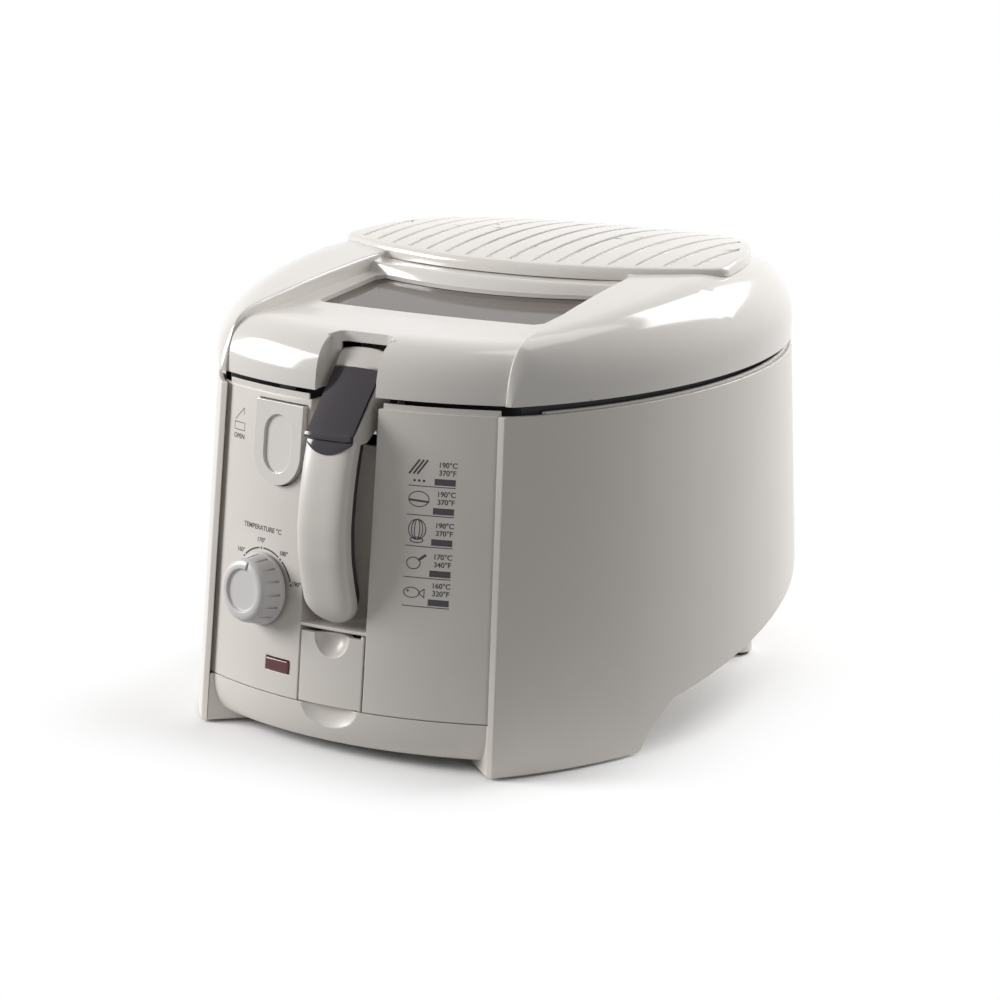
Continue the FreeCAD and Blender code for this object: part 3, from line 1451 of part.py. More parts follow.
def make_filter_cover():
    low, high = mm.filter_foot, mm.cover_crown + REACH
    whole = cover_outline(0, low, high).common(prism(cover_crown(0), -FAR, FAR))
    inside = prism(cover_crown(mm.cover_wall), -FAR, FAR)
    hollow = cover_outline(mm.cover_wall, low - 1, high).common(inside)
    cover = whole.cut(hollow).cut(lid_dome(-mm.cover_gap, mm.lid_foot))
    rows = block((-FAR, mm.cover_front + mm.rib_margin, 0), (FAR, cover_rear() - mm.rib_margin, FAR))
    grooved = cover_outline(mm.rib_margin, low, high).common(rows)
    for index in range(int(mm.rib_count)):
        steps = index - (mm.rib_count - 1) / 2
        place, half = steps * mm.rib_pitch, mm.rib_groove / 2
        depth = 2 * mm.cover_wall if abs(2 * steps) < mm.vent_count else mm.rib_groove_depth
        bar = prism(cover_crown(-1), place - half, place + half).cut(prism(cover_crown(depth), -FAR, FAR))
        cover = cover.cut(bar.common(grooved))
    moulding("filter_cover", cover.removeSplitter())


def make_filters():
    wall, gap = mm.tray_wall, mm.seat_gap
    low = mm.filter_foot
    top = min(lid_top(mm.filter_front), lid_top(mm.filter_rear)) - mm.tray_drop
    tray = filter_hole(wall, low, top).cut(filter_hole(0, low + wall, FAR))
    lip = filter_hole(wall + mm.tray_lip, low + wall, low + 2 * wall).cut(filter_hole(wall / 2, 0, FAR))
    tray = tray.fuse(lip.cut(lid_skin()))
    pitch, half = (mm.filter_rear - mm.filter_front) / mm.tray_slots, mm.tray_slot_half_width
    for index in range(int(mm.tray_slots)):
        start = mm.filter_front + pitch * index + pitch / 4
        tray = tray.cut(block((-half, start, 0), (half, start + pitch / 2, low + wall)))
    moulding("filter_tray", tray.removeSplitter())
    floor = low + wall
    moulding("grease_filter", filter_hole(-gap, floor, floor + mm.grease_height))
    floor += mm.grease_height
    moulding("carbon_filter", filter_hole(-gap, floor, floor + mm.carbon_height))


# Lid button and latch

def make_button():
    body = new_body("open_button", front_datum() * front_place(mm.button_place, mm.button_height))
    half = cell.button_width / 2 - cell.button_gap
    top = cell.button_length / 2 - cell.button_gap
    outline(new_sketch(body, "XY_Plane", cell.button_rise), [
        (-half, top), (-half, half - top, (ZERO, -top)), (half, half - top), (half, top)])
    grow(body, "Pad", body.Group[0], cell.button_wall + cell.button_rise, backwards=True)
    radius = cell.button_dish_width / 2
    run = cell.button_dish_length / 2 - radius
    dish = outline(new_sketch(body, "XY_Plane", cell.button_rise), [
        (radius, -run), (radius, run, (ZERO, run + radius)), (-radius, run),
        (-radius, -run, (ZERO, -run - radius))])
    grow(body, "Pocket", dish, cell.button_dish_depth)
    spot = front_place(mm.button_place, mm.button_height)
    reach = (mm.latch_front - mm.stem_gap - spot.Base.y) / -spot.Rotation.multVec(UP).y
    stem = circle(new_sketch(body, "XY_Plane"), cell.stem_radius)
    grow(body, "Pad", stem, ZERO + reach, backwards=True)


def make_latch():
    half, place = mm.latch_half_width, mm.button_place
    front, back = mm.latch_front, mm.latch_front + mm.latch_wall
    pivot = Vector(0, front + mm.latch_wall / 2, mm.latch_pivot_height)
    eye = mm.latch_pin_radius + mm.latch_eye_wall
    lever = block((place - half, front, mm.latch_pivot_height), (place + half, back, mm.latch_top))
    lever = lever.fuse(rod(eye, pivot + RIGHT * (place - half), RIGHT, 2 * half))
    nose = block((place - half, front - mm.latch_nose, mm.latch_nose_foot),
                 (place + half, back, mm.latch_top))
    lever = lever.fuse(nose)
    bore = rod(mm.latch_pin_radius + mm.hinge_run, pivot - RIGHT * FAR, RIGHT, 2 * FAR)
    moulding("latch_lever", lever.cut(bore).removeSplitter())
    inner = half + mm.latch_side_gap
    outer = inner + mm.latch_ear
    face = front_depth(place + outer, mm.latch_pivot_height, mm.panel_wall)
    ears = block((place - outer, face - eye, mm.latch_pivot_height - eye),
                 (place + outer, pivot.y + eye, mm.latch_pivot_height + eye))
    ears = ears.cut(block((place - inner, face + mm.latch_web, 0), (place + inner, FAR, FAR)))
    skin = front_slab(place - 2 * outer, place + 2 * outer, mm.panel_foot, mm.panel_top, -REACH / 2,
                      mm.panel_wall)
    tight = rod(mm.latch_pin_radius + mm.hinge_run / 2, pivot - RIGHT * FAR, RIGHT, 2 * FAR)
    moulding("latch_bracket", ears.cut(skin).cut(tight).removeSplitter())
    moulding("latch_pin", rod(mm.latch_pin_radius, pivot + RIGHT * (place - outer), RIGHT, 2 * outer))


# Thermostat and lamp, on the bowed panel

def make_knob():
    knob = new_body("thermostat_knob", front_datum() * front_place(mm.knob_place, mm.knob_height))
    radius, rise, gap = cell.knob_radius, cell.knob_rise, cell.knob_gap
    bore, cover = cell.spindle_radius + cell.spindle_run / 2, rise - cell.knob_bore_cover
    skirt, floor = gap + cell.knob_skirt, rise - cell.knob_disc_depth
    outline(new_sketch(knob, "XZ_Plane"), [
        (bore, gap), (radius, gap), (radius, skirt), (radius - cell.knob_step, skirt + cell.knob_slope),
        (radius - cell.knob_taper, rise - cell.knob_round,
         (radius - cell.knob_round_inset, rise - cell.knob_round_drop)),
        (radius - cell.knob_top_inset, rise), (cell.knob_disc_radius, rise),
        (cell.knob_floor_radius, floor), (ZERO, floor), (ZERO, cover), (bore, cover)])
    turn_about(knob, "Revolution", knob.Group[0])
    groove = circle(new_sketch(knob, "XY_Plane", gap + cell.knob_rib_foot), cell.knob_rib_radius,
                    radius - cell.knob_step)
    repeat_round(knob, grow(knob, "Pocket", groove, rise, backwards=True), cell.knob_ribs)


def make_thermostat():
    place = front_datum() * front_place(mm.knob_place, mm.knob_height)
    spindle = new_body("thermostat_spindle", place)
    foot, radius = -cell.thermostat_depth + cell.spindle_stop, cell.spindle_radius
    top = cell.knob_rise - cell.knob_bore_cover
    grow(spindle, "Pad", circle(new_sketch(spindle, "XY_Plane", foot), radius), top - foot)

    case = new_body("thermostat", place)
    half, tall = cell.thermostat_width / 2, cell.thermostat_tall / 2
    back = -cell.panel_wall - cell.thermostat_stand
    box = rectangle(new_sketch(case, "XY_Plane", back), -half, -tall, half, tall)
    grow(case, "Pad", box, cell.thermostat_depth, backwards=True)
    boss = circle(new_sketch(case, "XY_Plane", back), radius + cell.spindle_boss_wall)
    grow(case, "Pad", boss, -back)
    bore = circle(new_sketch(case, "XY_Plane"), radius + cell.spindle_run)
    grow(case, "Pocket", bore, cell.thermostat_depth)


def make_indicator():
    place = front_datum() * front_place(mm.lens_place, mm.lens_height)
    lens = new_body("indicator_lens", place)
    half, tall, flange = cell.lens_width / 2, cell.lens_tall / 2, cell.lens_flange
    seat = -cell.panel_wall - cell.seat_gap * 2
    face = rectangle(new_sketch(lens, "XY_Plane", cell.lens_rise), -half, -tall, half, tall)
    grow(lens, "Pad", face, cell.panel_wall + cell.lens_rise, backwards=True)
    rim = rectangle(new_sketch(lens, "XY_Plane", seat), -half - flange, -tall - flange, half + flange,
                    tall + flange)
    grow(lens, "Pad", rim, cell.lens_flange_wall, backwards=True)
    neck = rectangle(new_sketch(lens, "XY_Plane", seat), -half, -tall, half, tall)
    grow(lens, "Pad", neck, cell.seat_gap * 3)
    lamp = new_body("indicator_lamp", place)
    bulb = circle(new_sketch(lamp, "XY_Plane", seat - cell.lens_flange_wall), cell.lamp_radius)
    grow(lamp, "Pad", bulb, cell.lamp_length, backwards=True)


# Drain: compartment door, tube, cap and spout

def door_line():
    """Axis of the door, leaning with the front."""
    spot = Vector(mm.door_axis, front_depth(mm.door_axis, 0, mm.door_wall / 2), 0)
    return spot, Vector(0, mm.front_lean / mm.rim_height, 1)


def door_pin(run=0.0):
    """Door pin from plinth to channel floor, or its bore when a running clearance is given."""
    spot, line = door_line()
    reach = mm.door_pin_reach + (mm.door_pin_gap if run else 0.0)
    low, high = mm.door_foot - reach, mm.door_top + reach
    return rod(mm.door_pin_radius + run, spot + line * low, line, (high - low) * line.Length)


def make_drain_door():
    half = mm.door_half_width
    door = front_slab(-half, half, mm.door_foot, mm.door_top, 0, mm.door_wall)
    centre = Vector(0, front_depth(0, mm.door_top) - mm.door_scoop + mm.door_scoop_depth, mm.door_top)
    scoop = Part.makeSphere(mm.door_scoop, centre)
    dish = Part.makeSphere(mm.door_scoop + mm.door_wall, centre)
    slab = front_slab(-half, half, mm.door_foot, mm.door_top, 0, FAR / 4)
    door = door.fuse(dish.common(slab)).cut(scoop)
    moulding("drain_door", door.fuse(door_pin()).removeSplitter())


def make_drain_spout():
    drop, length = mm.bowl_wall + mm.seat_gap, mm.spout_length
    wide, narrow = mm.tube_radius + 2 * mm.cap_wall, mm.tube_radius + mm.cap_wall / 2
    spout = Part.makeCone(wide, narrow, length, Vector(0, mm.spout_place, -drop), -UP)
    spout = spout.cut(Part.makeCylinder(mm.tube_bore, FAR, Vector(0, mm.spout_place, -FAR / 2), UP))
    moulding("drain_spout", placed(spout, bowl_place()))


def make_drain_tube():
    """Rubber tube from the spout, down the bowl's axis and forward to the compartment."""
    drop, length = mm.bowl_wall + mm.seat_gap, mm.spout_length
    lean = math.radians(mm.bowl_tilt)
    down = Vector(0, math.sin(lean), -math.cos(lean))
    start = bowl_place().multVec(Vector(0, mm.spout_place, -drop - length))
    corner = start + down * ((start.z - mm.tube_height) / math.cos(lean))
    half_turn = (math.pi / 2 + lean) / 2
    cut_back = mm.tube_bend * math.tan(half_turn)
    first, last = corner - down * cut_back, corner - BACK * cut_back
    inward = (first + last - corner * 2).normalize()
    middle = corner + inward * mm.tube_bend * (1 / math.cos(half_turn) - 1)
    end = Vector(0, mm.tube_front, mm.tube_height)
    path = Part.Wire([Part.LineSegment(start, first).toShape(), Part.Arc(first, middle, last).toShape(),
                      Part.LineSegment(last, end).toShape()])
    rings = [Part.Wire([Part.Circle(start, down, size).toShape()])
             for size in (mm.tube_radius, mm.tube_bore)]
    outer, inner = (path.makePipeShell([ring], True, False) for ring in rings)
    moulding("drain_tube", outer.cut(inner))


def make_drain_cap():
    cap = new_body("drain_cap")
    front, height = cell.tube_front - cell.cap_wall - cell.seat_gap, cell.tube_height
    outer, inner = cell.tube_radius + cell.cap_wall, cell.tube_radius + cell.seat_gap
    disc = circle(new_sketch(cap, "XZ_Plane", -front), outer, ZERO, height)
    grow(cap, "Pad", disc, cell.cap_length, backwards=True)
    hollow = circle(new_sketch(cap, "XZ_Plane", -front - cell.cap_wall), inner, ZERO, height)
    grow(cap, "Pocket", hollow, cell.cap_length)


def make_cord_gland():
    share = mm.gland_height / mm.rim_height
    wall = mm.floor_centre + (mm.rim_centre - mm.floor_centre) * share
    wall += mm.floor_half_depth + (mm.rim_half_depth - mm.floor_half_depth) * share
    spot = Vector(0, wall, mm.gland_height)
    gland = rod(mm.gland_flange, spot + BACK * mm.gland_stand, BACK, mm.gland_rim)
    gland = gland.fuse(rod(mm.gland_radius, spot - BACK * mm.gland_depth, BACK, mm.gland_length))
    bore = rod(mm.gland_bore, spot - BACK * (REACH / 2), BACK, REACH)
    moulding("cord_gland", gland.cut(bore).removeSplitter())


def make_base_screws():
    front = (mm.screw_front_spread, mm.screw_front_depth, mm.plate_front_height)
    share = (mm.screw_rear_depth - mm.arch_depth) / (mm.belly_depth - mm.arch_depth)
    belly = mm.arch_height + (mm.belly_height - mm.arch_height) * share
    rear = (mm.screw_rear_spread, mm.screw_rear_depth, belly - mm.screw_sink)
    heads = [rod(mm.screw_radius, Vector(side * x, y, level - mm.screw_head), UP, mm.screw_head)
             for x, y, level in (front, rear) for side in (-1, 1)]
    moulding("base_screws", Part.makeCompound(heads))


for make in (make_body_shell, make_bottom_plate, make_rubber_feet, make_base_panel, make_front_panel,
             make_bowl_frame, make_bowl, make_heating_element, make_thermal_cutout, make_shaft_bush,
             make_drive_shaft, make_gear_motor, make_motor_bracket, make_basket, make_basket_hub,
             make_carrier, make_handle_grip, make_handle_back, make_handle_pin, make_handle_slider,
             make_handle_bracket, make_lid_shell, make_window, make_lid_liner, make_lid_seal,
             make_lid_catch, make_hinge, make_filter_cover, make_filters, make_button, make_latch, make_knob,
             make_thermostat, make_indicator, make_drain_door, make_drain_spout, make_drain_tube,
             make_drain_cap, make_cord_gland, make_base_screws):
    make()

doc.recompute()
for item in doc.Objects:
    if {"Invalid", "Error"} & set(item.State):
        raise RuntimeError(f"{item.Label} failed: {item.State}")
os.makedirs("parts", exist_ok=True)
for label, piece in finished.items():
    if piece.Shape.isNull() or not piece.Shape.isValid():
        raise RuntimeError(f"{label} has no valid shape")
    piece.Shape.exportStep(f"parts/{label}.step")
    print(label, len(piece.Shape.Solids), round(piece.Shape.Volume))
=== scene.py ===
# %% [markdown]
# # A deep fryer with a turning basket
# The real fryer is a white moulded case, open at the front for a bowed panel, with a hinged lid on top.
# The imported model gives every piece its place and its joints. This lesson keeps that frame, gives each
# solid the finish of the real material, and builds the large glossy mouldings again as clean surfaces,
# because a smooth highlight needs evenly spaced faces.

# %% Load the frame
import json
import math

import bmesh
import bpy
import numpy as np
from mathutils import Matrix, Vector

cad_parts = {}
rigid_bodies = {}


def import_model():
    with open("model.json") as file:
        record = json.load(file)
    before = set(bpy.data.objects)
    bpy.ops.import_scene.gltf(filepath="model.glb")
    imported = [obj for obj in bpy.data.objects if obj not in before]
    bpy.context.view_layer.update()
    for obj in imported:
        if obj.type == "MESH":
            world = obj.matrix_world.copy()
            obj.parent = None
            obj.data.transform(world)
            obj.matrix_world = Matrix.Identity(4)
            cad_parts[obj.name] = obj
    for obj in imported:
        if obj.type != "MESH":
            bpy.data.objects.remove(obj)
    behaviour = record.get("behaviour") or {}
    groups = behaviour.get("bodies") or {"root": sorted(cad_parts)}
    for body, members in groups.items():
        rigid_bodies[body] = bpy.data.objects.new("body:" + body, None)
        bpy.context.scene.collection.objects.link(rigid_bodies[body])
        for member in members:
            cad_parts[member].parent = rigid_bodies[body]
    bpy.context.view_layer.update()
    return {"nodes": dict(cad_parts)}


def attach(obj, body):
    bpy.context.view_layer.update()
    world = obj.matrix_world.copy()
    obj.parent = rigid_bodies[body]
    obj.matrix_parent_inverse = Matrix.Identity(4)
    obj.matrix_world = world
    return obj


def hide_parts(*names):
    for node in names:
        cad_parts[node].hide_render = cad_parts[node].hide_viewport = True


for leftover in list(bpy.data.objects):
    bpy.data.objects.remove(leftover)
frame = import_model()
scene = bpy.context.scene
scene.view_settings.view_transform = "Standard"

# %% [markdown]
# ## Camera
# The photograph looks down on the right front corner through a long lens. The place, the turn and the
# focal length were solved from points on the photograph, so the camera is simply put there. Depths in
# this lesson run back from the front feet, as on a maker's drawing, and `to_frame` shifts them to the
# model's own origin under the middle of the fryer.

# %% Camera
FEET_TO_MIDDLE = 179.576


def to_frame(point):
    """Millimetres, measured back from the front feet, to the frame's metres."""
    return Vector((point[0], point[1] - FEET_TO_MIDDLE, point[2])) / 1000


CAMERA_SPOT, CAMERA_TURN, CAMERA_TILT, LENS_MM = (800, -1164.2, 491.6), 31.1, 14.14, 101.322
lens = bpy.data.cameras.new("photo_camera")
lens.lens, lens.sensor_width, lens.sensor_fit = LENS_MM, 36, "HORIZONTAL"
camera = bpy.data.objects.new("photo_camera", lens)
scene.collection.objects.link(camera)
camera.location = to_frame(CAMERA_SPOT)
camera.rotation_euler = (math.radians(90 - CAMERA_TILT), 0, math.radians(CAMERA_TURN))
scene.camera = camera
print("camera at", [round(value, 3) for value in camera.location])

# %% [markdown]
# ## Materials
# Nearly everything in view is moulded plastic. An injection mould leaves a fine grain and a very slight
# waviness, so each plastic gets three noises: a broad one that shifts the colour a little, a middle one
# that varies the gloss, and a fine one for the grain in the bump. Scales come from millimetres: in Object
# coordinates a noise scale of 1000 / size gives patches of about that size.

# %% Node helpers
def linear(hex_colour):
    """An sRGB hex colour as the linear values that a shader mixes."""
    channels = [int(hex_colour[start:start + 2], 16) / 255 for start in (1, 3, 5)]
    return [c / 12.92 if c <= 0.04045 else ((c + 0.055) / 1.055) ** 2.4 for c in channels] + [1.0]


def add_node(tree, kind, settings=None, links=None):
    """Add a node, set its sockets or properties, and link outputs into its sockets."""
    node = tree.nodes.new(kind)
    for name, value in (settings or {}).items():
        if isinstance(name, int) or name in node.inputs:
            node.inputs[name].default_value = value
        else:
            setattr(node, name, value)
    for name, output in (links or {}).items():
        tree.links.new(output, node.inputs[name])
    return node


def per_metre(size_mm):
    """Texture scale whose pattern repeats about every size_mm."""
    return 1000 / size_mm


def surface(name, settings):
    """New node material with one shader; returns the material, its tree, the shader and coordinates."""
    material = bpy.data.materials.new(name)
    material.use_nodes = True
    tree = material.node_tree
    tree.nodes.clear()
    shader = add_node(tree, "ShaderNodeBsdfPrincipled", settings)
    add_node(tree, "ShaderNodeOutputMaterial", None, {"Surface": shader.outputs["BSDF"]})
    place = add_node(tree, "ShaderNodeTexCoord").outputs["Object"]
    return material, tree, shader, place


# %% Moulded plastics
DRIFT_MM, GLOSS_MM = 70, 9


def moulded(name, colour, shade, gloss, grain_mm, grain_depth_mm, settings=None):
    """Moulded plastic: a colour that drifts towards its shade, uneven gloss and a fine grain."""
    material, tree, shader, place = surface(name, settings or {})
    drift = add_node(tree, "ShaderNodeTexNoise", {"Scale": per_metre(DRIFT_MM), "Detail": 2.0},
                     {"Vector": place})
    tint = add_node(tree, "ShaderNodeMix", {"data_type": "RGBA", 6: linear(colour), 7: linear(shade)},
                    {0: drift.outputs["Fac"]})
    tree.links.new(tint.outputs[2], shader.inputs["Base Color"])
    patches = add_node(tree, "ShaderNodeTexNoise", {"Scale": per_metre(GLOSS_MM), "Detail": 3.0},
                       {"Vector": place})
    rough = add_node(tree, "ShaderNodeMapRange", {"To Min": gloss[0], "To Max": gloss[1]},
                     {"Value": patches.outputs["Fac"]})
    tree.links.new(rough.outputs["Result"], shader.inputs["Roughness"])
    grain = add_node(tree, "ShaderNodeTexNoise", {"Scale": per_metre(grain_mm), "Detail": 1.0},
                     {"Vector": place})
    bump = add_node(tree, "ShaderNodeBump", {"Distance": grain_depth_mm / 1000, "Strength": 1.0},
                    {"Height": grain.outputs["Fac"]})
    tree.links.new(bump.outputs["Normal"], shader.inputs["Normal"])
    return material


FINISH = {
    # Polished ABS of the lid and the cover, which mirrors the lamps softly
    "gloss_abs": moulded("polished_white_abs", "#d9d5d0", "#d3cec8", (0.10, 0.16), 1.2, 0.0012,
                         {"IOR": 1.53, "Coat Weight": 0.15, "Coat Roughness": 0.06}),
    # Satin ABS of the case and the panel
    "satin_abs": moulded("satin_white_abs", "#d5d0ca", "#cfc9c2", (0.27, 0.36), 0.7, 0.003, {"IOR": 1.53}),
    # Slightly greyer ABS of the thermostat knob and the drain cap
    "grey_abs": moulded("satin_grey_abs", "#cbc9c8", "#c3c0bf", (0.28, 0.38), 0.7, 0.003, {"IOR": 1.53}),
    # Polished dark ABS of the slider
    "aubergine_abs": moulded("polished_aubergine_abs", "#2b262e", "#241f27", (0.10, 0.17), 1.5, 0.001,
                             {"IOR": 1.53}),
    # Spark-eroded black polypropylene of the frame, the liner and the trays
    "black_pp": moulded("textured_black_polypropylene", "#232224", "#1b1a1c", (0.45, 0.6), 0.8, 0.01,
                        {"IOR": 1.49}),
    # Rubber of the feet, the seals and the drain tube
    "rubber": moulded("moulded_black_rubber", "#2a2a2b", "#1f1f20", (0.6, 0.75), 1.0, 0.012, {"IOR": 1.52}),
    # Red polycarbonate lens of the pilot lamp
    "red_lens": moulded("red_polycarbonate_lens", "#6b1a1e", "#571317", (0.12, 0.2), 2.0, 0.004,
                        {"IOR": 1.58, "Transmission Weight": 0.25}),
    # Screen-printing ink
    "ink": moulded("screen_print_ink", "#38343a", "#302c32", (0.45, 0.6), 0.5, 0.002, {"IOR": 1.5}),
    # Enamel paint of the motor can
    "motor_enamel": moulded("grey_motor_enamel", "#55585c", "#4b4e52", (0.35, 0.5), 1.0, 0.006,
                            {"IOR": 1.5}),
}
print("plastics:", ", ".join(material.name for material in FINISH.values()))

# %% [markdown]
# Metals show how they were worked. Spun aluminium has fine rings round the bowl's axis, drawn steel has
# streaks along one direction, and the nickel-plated wire of the basket is bright with faint mottling. A
# stretched noise gives the streaks, and the roughness follows it.

# %% Metals
def worked_metal(name, colour, shade, gloss, streak_mm, stretch):
    """Bare metal whose streaks are drawn out along the directions with the larger stretch."""
    material, tree, shader, place = surface(name, {"Metallic": 1.0})
    scaled = add_node(tree, "ShaderNodeMapping", {"Scale": stretch}, {"Vector": place})
    streaks = add_node(tree, "ShaderNodeTexNoise", {"Scale": per_metre(streak_mm), "Detail": 4.0},
                       {"Vector": scaled.outputs["Vector"]})
    tint = add_node(tree, "ShaderNodeMix", {"data_type": "RGBA", 6: linear(colour), 7: linear(shade)},
                    {0: streaks.outputs["Fac"]})
    tree.links.new(tint.outputs[2], shader.inputs["Base Color"])
    rough = add_node(tree, "ShaderNodeMapRange", {"To Min": gloss[0], "To Max": gloss[1]},
                     {"Value": streaks.outputs["Fac"]})
    tree.links.new(rough.outputs["Result"], shader.inputs["Roughness"])
    bump = add_node(tree, "ShaderNodeBump", {"Distance": 0.00001, "Strength": 1.0},
                    {"Height": streaks.outputs["Fac"]})
    tree.links.new(bump.outputs["Normal"], shader.inputs["Normal"])
    return material


FINISH["aluminium"] = worked_metal("spun_aluminium", "#c9c9cb", "#b4b4b7", (0.28, 0.42), 6, (0.3, 0.3, 4.0))
FINISH["steel"] = worked_metal("drawn_steel", "#bfc0c2", "#a5a6a9", (0.22, 0.38), 3, (0.15, 2.0, 2.0))
FINISH["wire"] = worked_metal("nickel_plated_steel", "#d2d0cc", "#bab7b2", (0.16, 0.26), 5, (1.0, 1.0, 1.0))
print("metals:", FINISH["aluminium"].name, FINISH["steel"].name, FINISH["wire"].name)

# %% [markdown]
# The window is smoked acrylic, which lets a little of the dark inside through and mirrors the room at a
# low angle, so transmission and a polished surface are enough. The two filters are felts: short fibres
# that scatter light, made with a stretched noise for the fibres and a strong, fine bump.

# %% Window and felts
FINISH["smoked"], smoked_tree, smoked_shader, smoked_place = surface(
    "smoked_acrylic", {"IOR": 1.49, "Transmission Weight": 0.55})
ripple = add_node(smoked_tree, "ShaderNodeTexNoise", {"Scale": per_metre(40), "Detail": 1.0},
                  {"Vector": smoked_place})
smoke_tint = add_node(smoked_tree, "ShaderNodeMix",
                      {"data_type": "RGBA", 6: linear("#6f6057"), 7: linear("#62544c")},
                      {0: ripple.outputs["Fac"]})
smoked_tree.links.new(smoke_tint.outputs[2], smoked_shader.inputs["Base Color"])
smoke_gloss = add_node(smoked_tree, "ShaderNodeMapRange", {"To Min": 0.04, "To Max": 0.09},
                       {"Value": ripple.outputs["Fac"]})
smoked_tree.links.new(smoke_gloss.outputs["Result"], smoked_shader.inputs["Roughness"])


def felt(name, colour, shade):
    """Needled felt: fibres about half a millimetre across, drawn coarse enough to show."""
    material, tree, shader, place = surface(name, {"Roughness": 0.95, "Sheen Weight": 0.4})
    scaled = add_node(tree, "ShaderNodeMapping", {"Scale": (1.0, 0.35, 1.0)}, {"Vector": place})
    fibres = add_node(tree, "ShaderNodeTexNoise", {"Scale": per_metre(1.4), "Detail": 5.0},
                      {"Vector": scaled.outputs["Vector"]})
    tint = add_node(tree, "ShaderNodeMix", {"data_type": "RGBA", 6: linear(colour), 7: linear(shade)},
                    {0: fibres.outputs["Fac"]})
    tree.links.new(tint.outputs[2], shader.inputs["Base Color"])
    bump = add_node(tree, "ShaderNodeBump", {"Distance": 0.0004, "Strength": 1.0},
                    {"Height": fibres.outputs["Fac"]})
    tree.links.new(bump.outputs["Normal"], shader.inputs["Normal"])
    return material


FINISH["grease_felt"] = felt("white_polyester_felt", "#e4e0d6", "#cfc9bc")
FINISH["carbon_felt"] = felt("carbon_loaded_felt", "#2c2b2b", "#161616")
print("window and felts:", FINISH["smoked"].name, FINISH["grease_felt"].name, FINISH["carbon_felt"].name)

# %% [markdown]
# Every CAD solid that stays in view takes one of these finishes, by the slot that the record gives it.
# The pieces built further down replace some of them, and the rest keep the CAD shape.

# %% Finishes of the CAD nodes
SLOT_FINISH = {
    "white_plastic": "satin_abs", "black_plastic": "black_pp", "aubergine_plastic": "aubergine_abs",
    "grey_plastic": "grey_abs", "smoked_glass": "smoked", "red_lens": "red_lens",
    "bowl_aluminium": "aluminium", "steel": "steel", "basket_wire": "wire", "motor_paint": "motor_enamel",
    "rubber": "rubber", "filter_felt": "grease_felt", "carbon_felt": "carbon_felt",
}
node_slot = {name: node.material_slots[0].name for name, node in frame["nodes"].items()}
for name, node in frame["nodes"].items():
    node.material_slots[0].material = FINISH[SLOT_FINISH[node_slot[name]]]
print(len(node_slot), "CAD nodes finished")

# %% [markdown]
# ## Making meshes
# A moulding is a smooth skin. `Skin` collects faces and welds corners that fall together, so strips that
# meet share their edge and shade as one surface. `build` turns it into an object with its normals facing
# out, `harden` rounds the edges with a bevel, and `plain` bakes the modifiers into the mesh.

# %% Skin and finishing helpers
class Skin:
    """Faces in millimetres, with corners that fall together welded."""

    def __init__(self):
        self.points, self.faces, self.known = [], [], {}

    def corner(self, point):
        key = tuple(round(float(value), 3) for value in point)
        if key not in self.known:
            self.known[key] = len(self.points)
            self.points.append(key)
        return self.known[key]

    def face(self, corners):
        loop = []
        for index in map(self.corner, corners):
            if index not in loop:
                loop.append(index)
        if len(loop) > 2:
            self.faces.append(loop)

    def strip(self, rows, closed=False):
        """Quads between neighbouring rows of points."""
        for near, far in zip(rows, rows[1:]):
            pairs = list(zip(near, far))
            following = pairs[1:] + pairs[:1] if closed else pairs[1:]
            for (a, b), (c, d) in zip(pairs, following):
                self.face([a, c, d, b])

    def shell(self, outer, inner):
        """Closed wall between two grids of the same size."""
        self.strip(outer)
        self.strip([row[::-1] for row in inner])
        self.strip([inner[0], outer[0]])
        self.strip([outer[-1], inner[-1]])
        self.strip([[row[0] for row in outer], [row[0] for row in inner]])
        self.strip([[row[-1] for row in inner], [row[-1] for row in outer]])


def link(name, mesh):
    piece = bpy.data.objects.new(name, mesh)
    scene.collection.objects.link(piece)
    return piece


def build(name, skin, outward=None):
    """Object from a skin; for an open skin, outward is a direction that most of it faces."""
    mesh = bpy.data.meshes.new(name)
    mesh.from_pydata([to_frame(point) for point in skin.points], [], skin.faces)
    work = bmesh.new()
    work.from_mesh(mesh)
    bmesh.ops.recalc_face_normals(work, faces=work.faces)
    if outward and sum(face.normal.dot(outward) * face.calc_area() for face in work.faces) < 0:
        bmesh.ops.reverse_faces(work, faces=work.faces)
    work.to_mesh(mesh)
    work.free()
    return link(name, mesh)


def loft(name, sections):
    """Closed body through a row of closed sections."""
    skin = Skin()
    skin.strip(sections, closed=True)
    skin.face(sections[0])
    skin.face(sections[-1])
    return build(name, skin)


def plain(piece):
    """Bake a piece's modifiers into a plain mesh."""
    graph = bpy.context.evaluated_depsgraph_get()
    graph.update()
    mesh = bpy.data.meshes.new_from_object(piece.evaluated_get(graph))
    piece.modifiers.clear()
    piece.data = mesh
    return piece


def modify(piece, kind, **settings):
    modifier = piece.modifiers.new(kind.lower(), kind)
    for name, value in settings.items():
        setattr(modifier, name, value)
    return modifier


def harden(piece, width_mm, segments=3, angle=38):
    """Round the sharp edges, and let the flats keep flat shading."""
    if width_mm:
        modify(piece, "BEVEL", width=width_mm / 1000, segments=segments, limit_method="ANGLE",
               angle_limit=math.radians(angle), use_clamp_overlap=False, miter_outer="MITER_ARC")
        plain(piece)
    for polygon in piece.data.polygons:
        polygon.use_smooth = True
    piece.data.set_sharp_from_angle(angle=math.radians(angle))
    modify(piece, "WEIGHTED_NORMAL", keep_sharp=True, weight=60)
    return plain(piece)


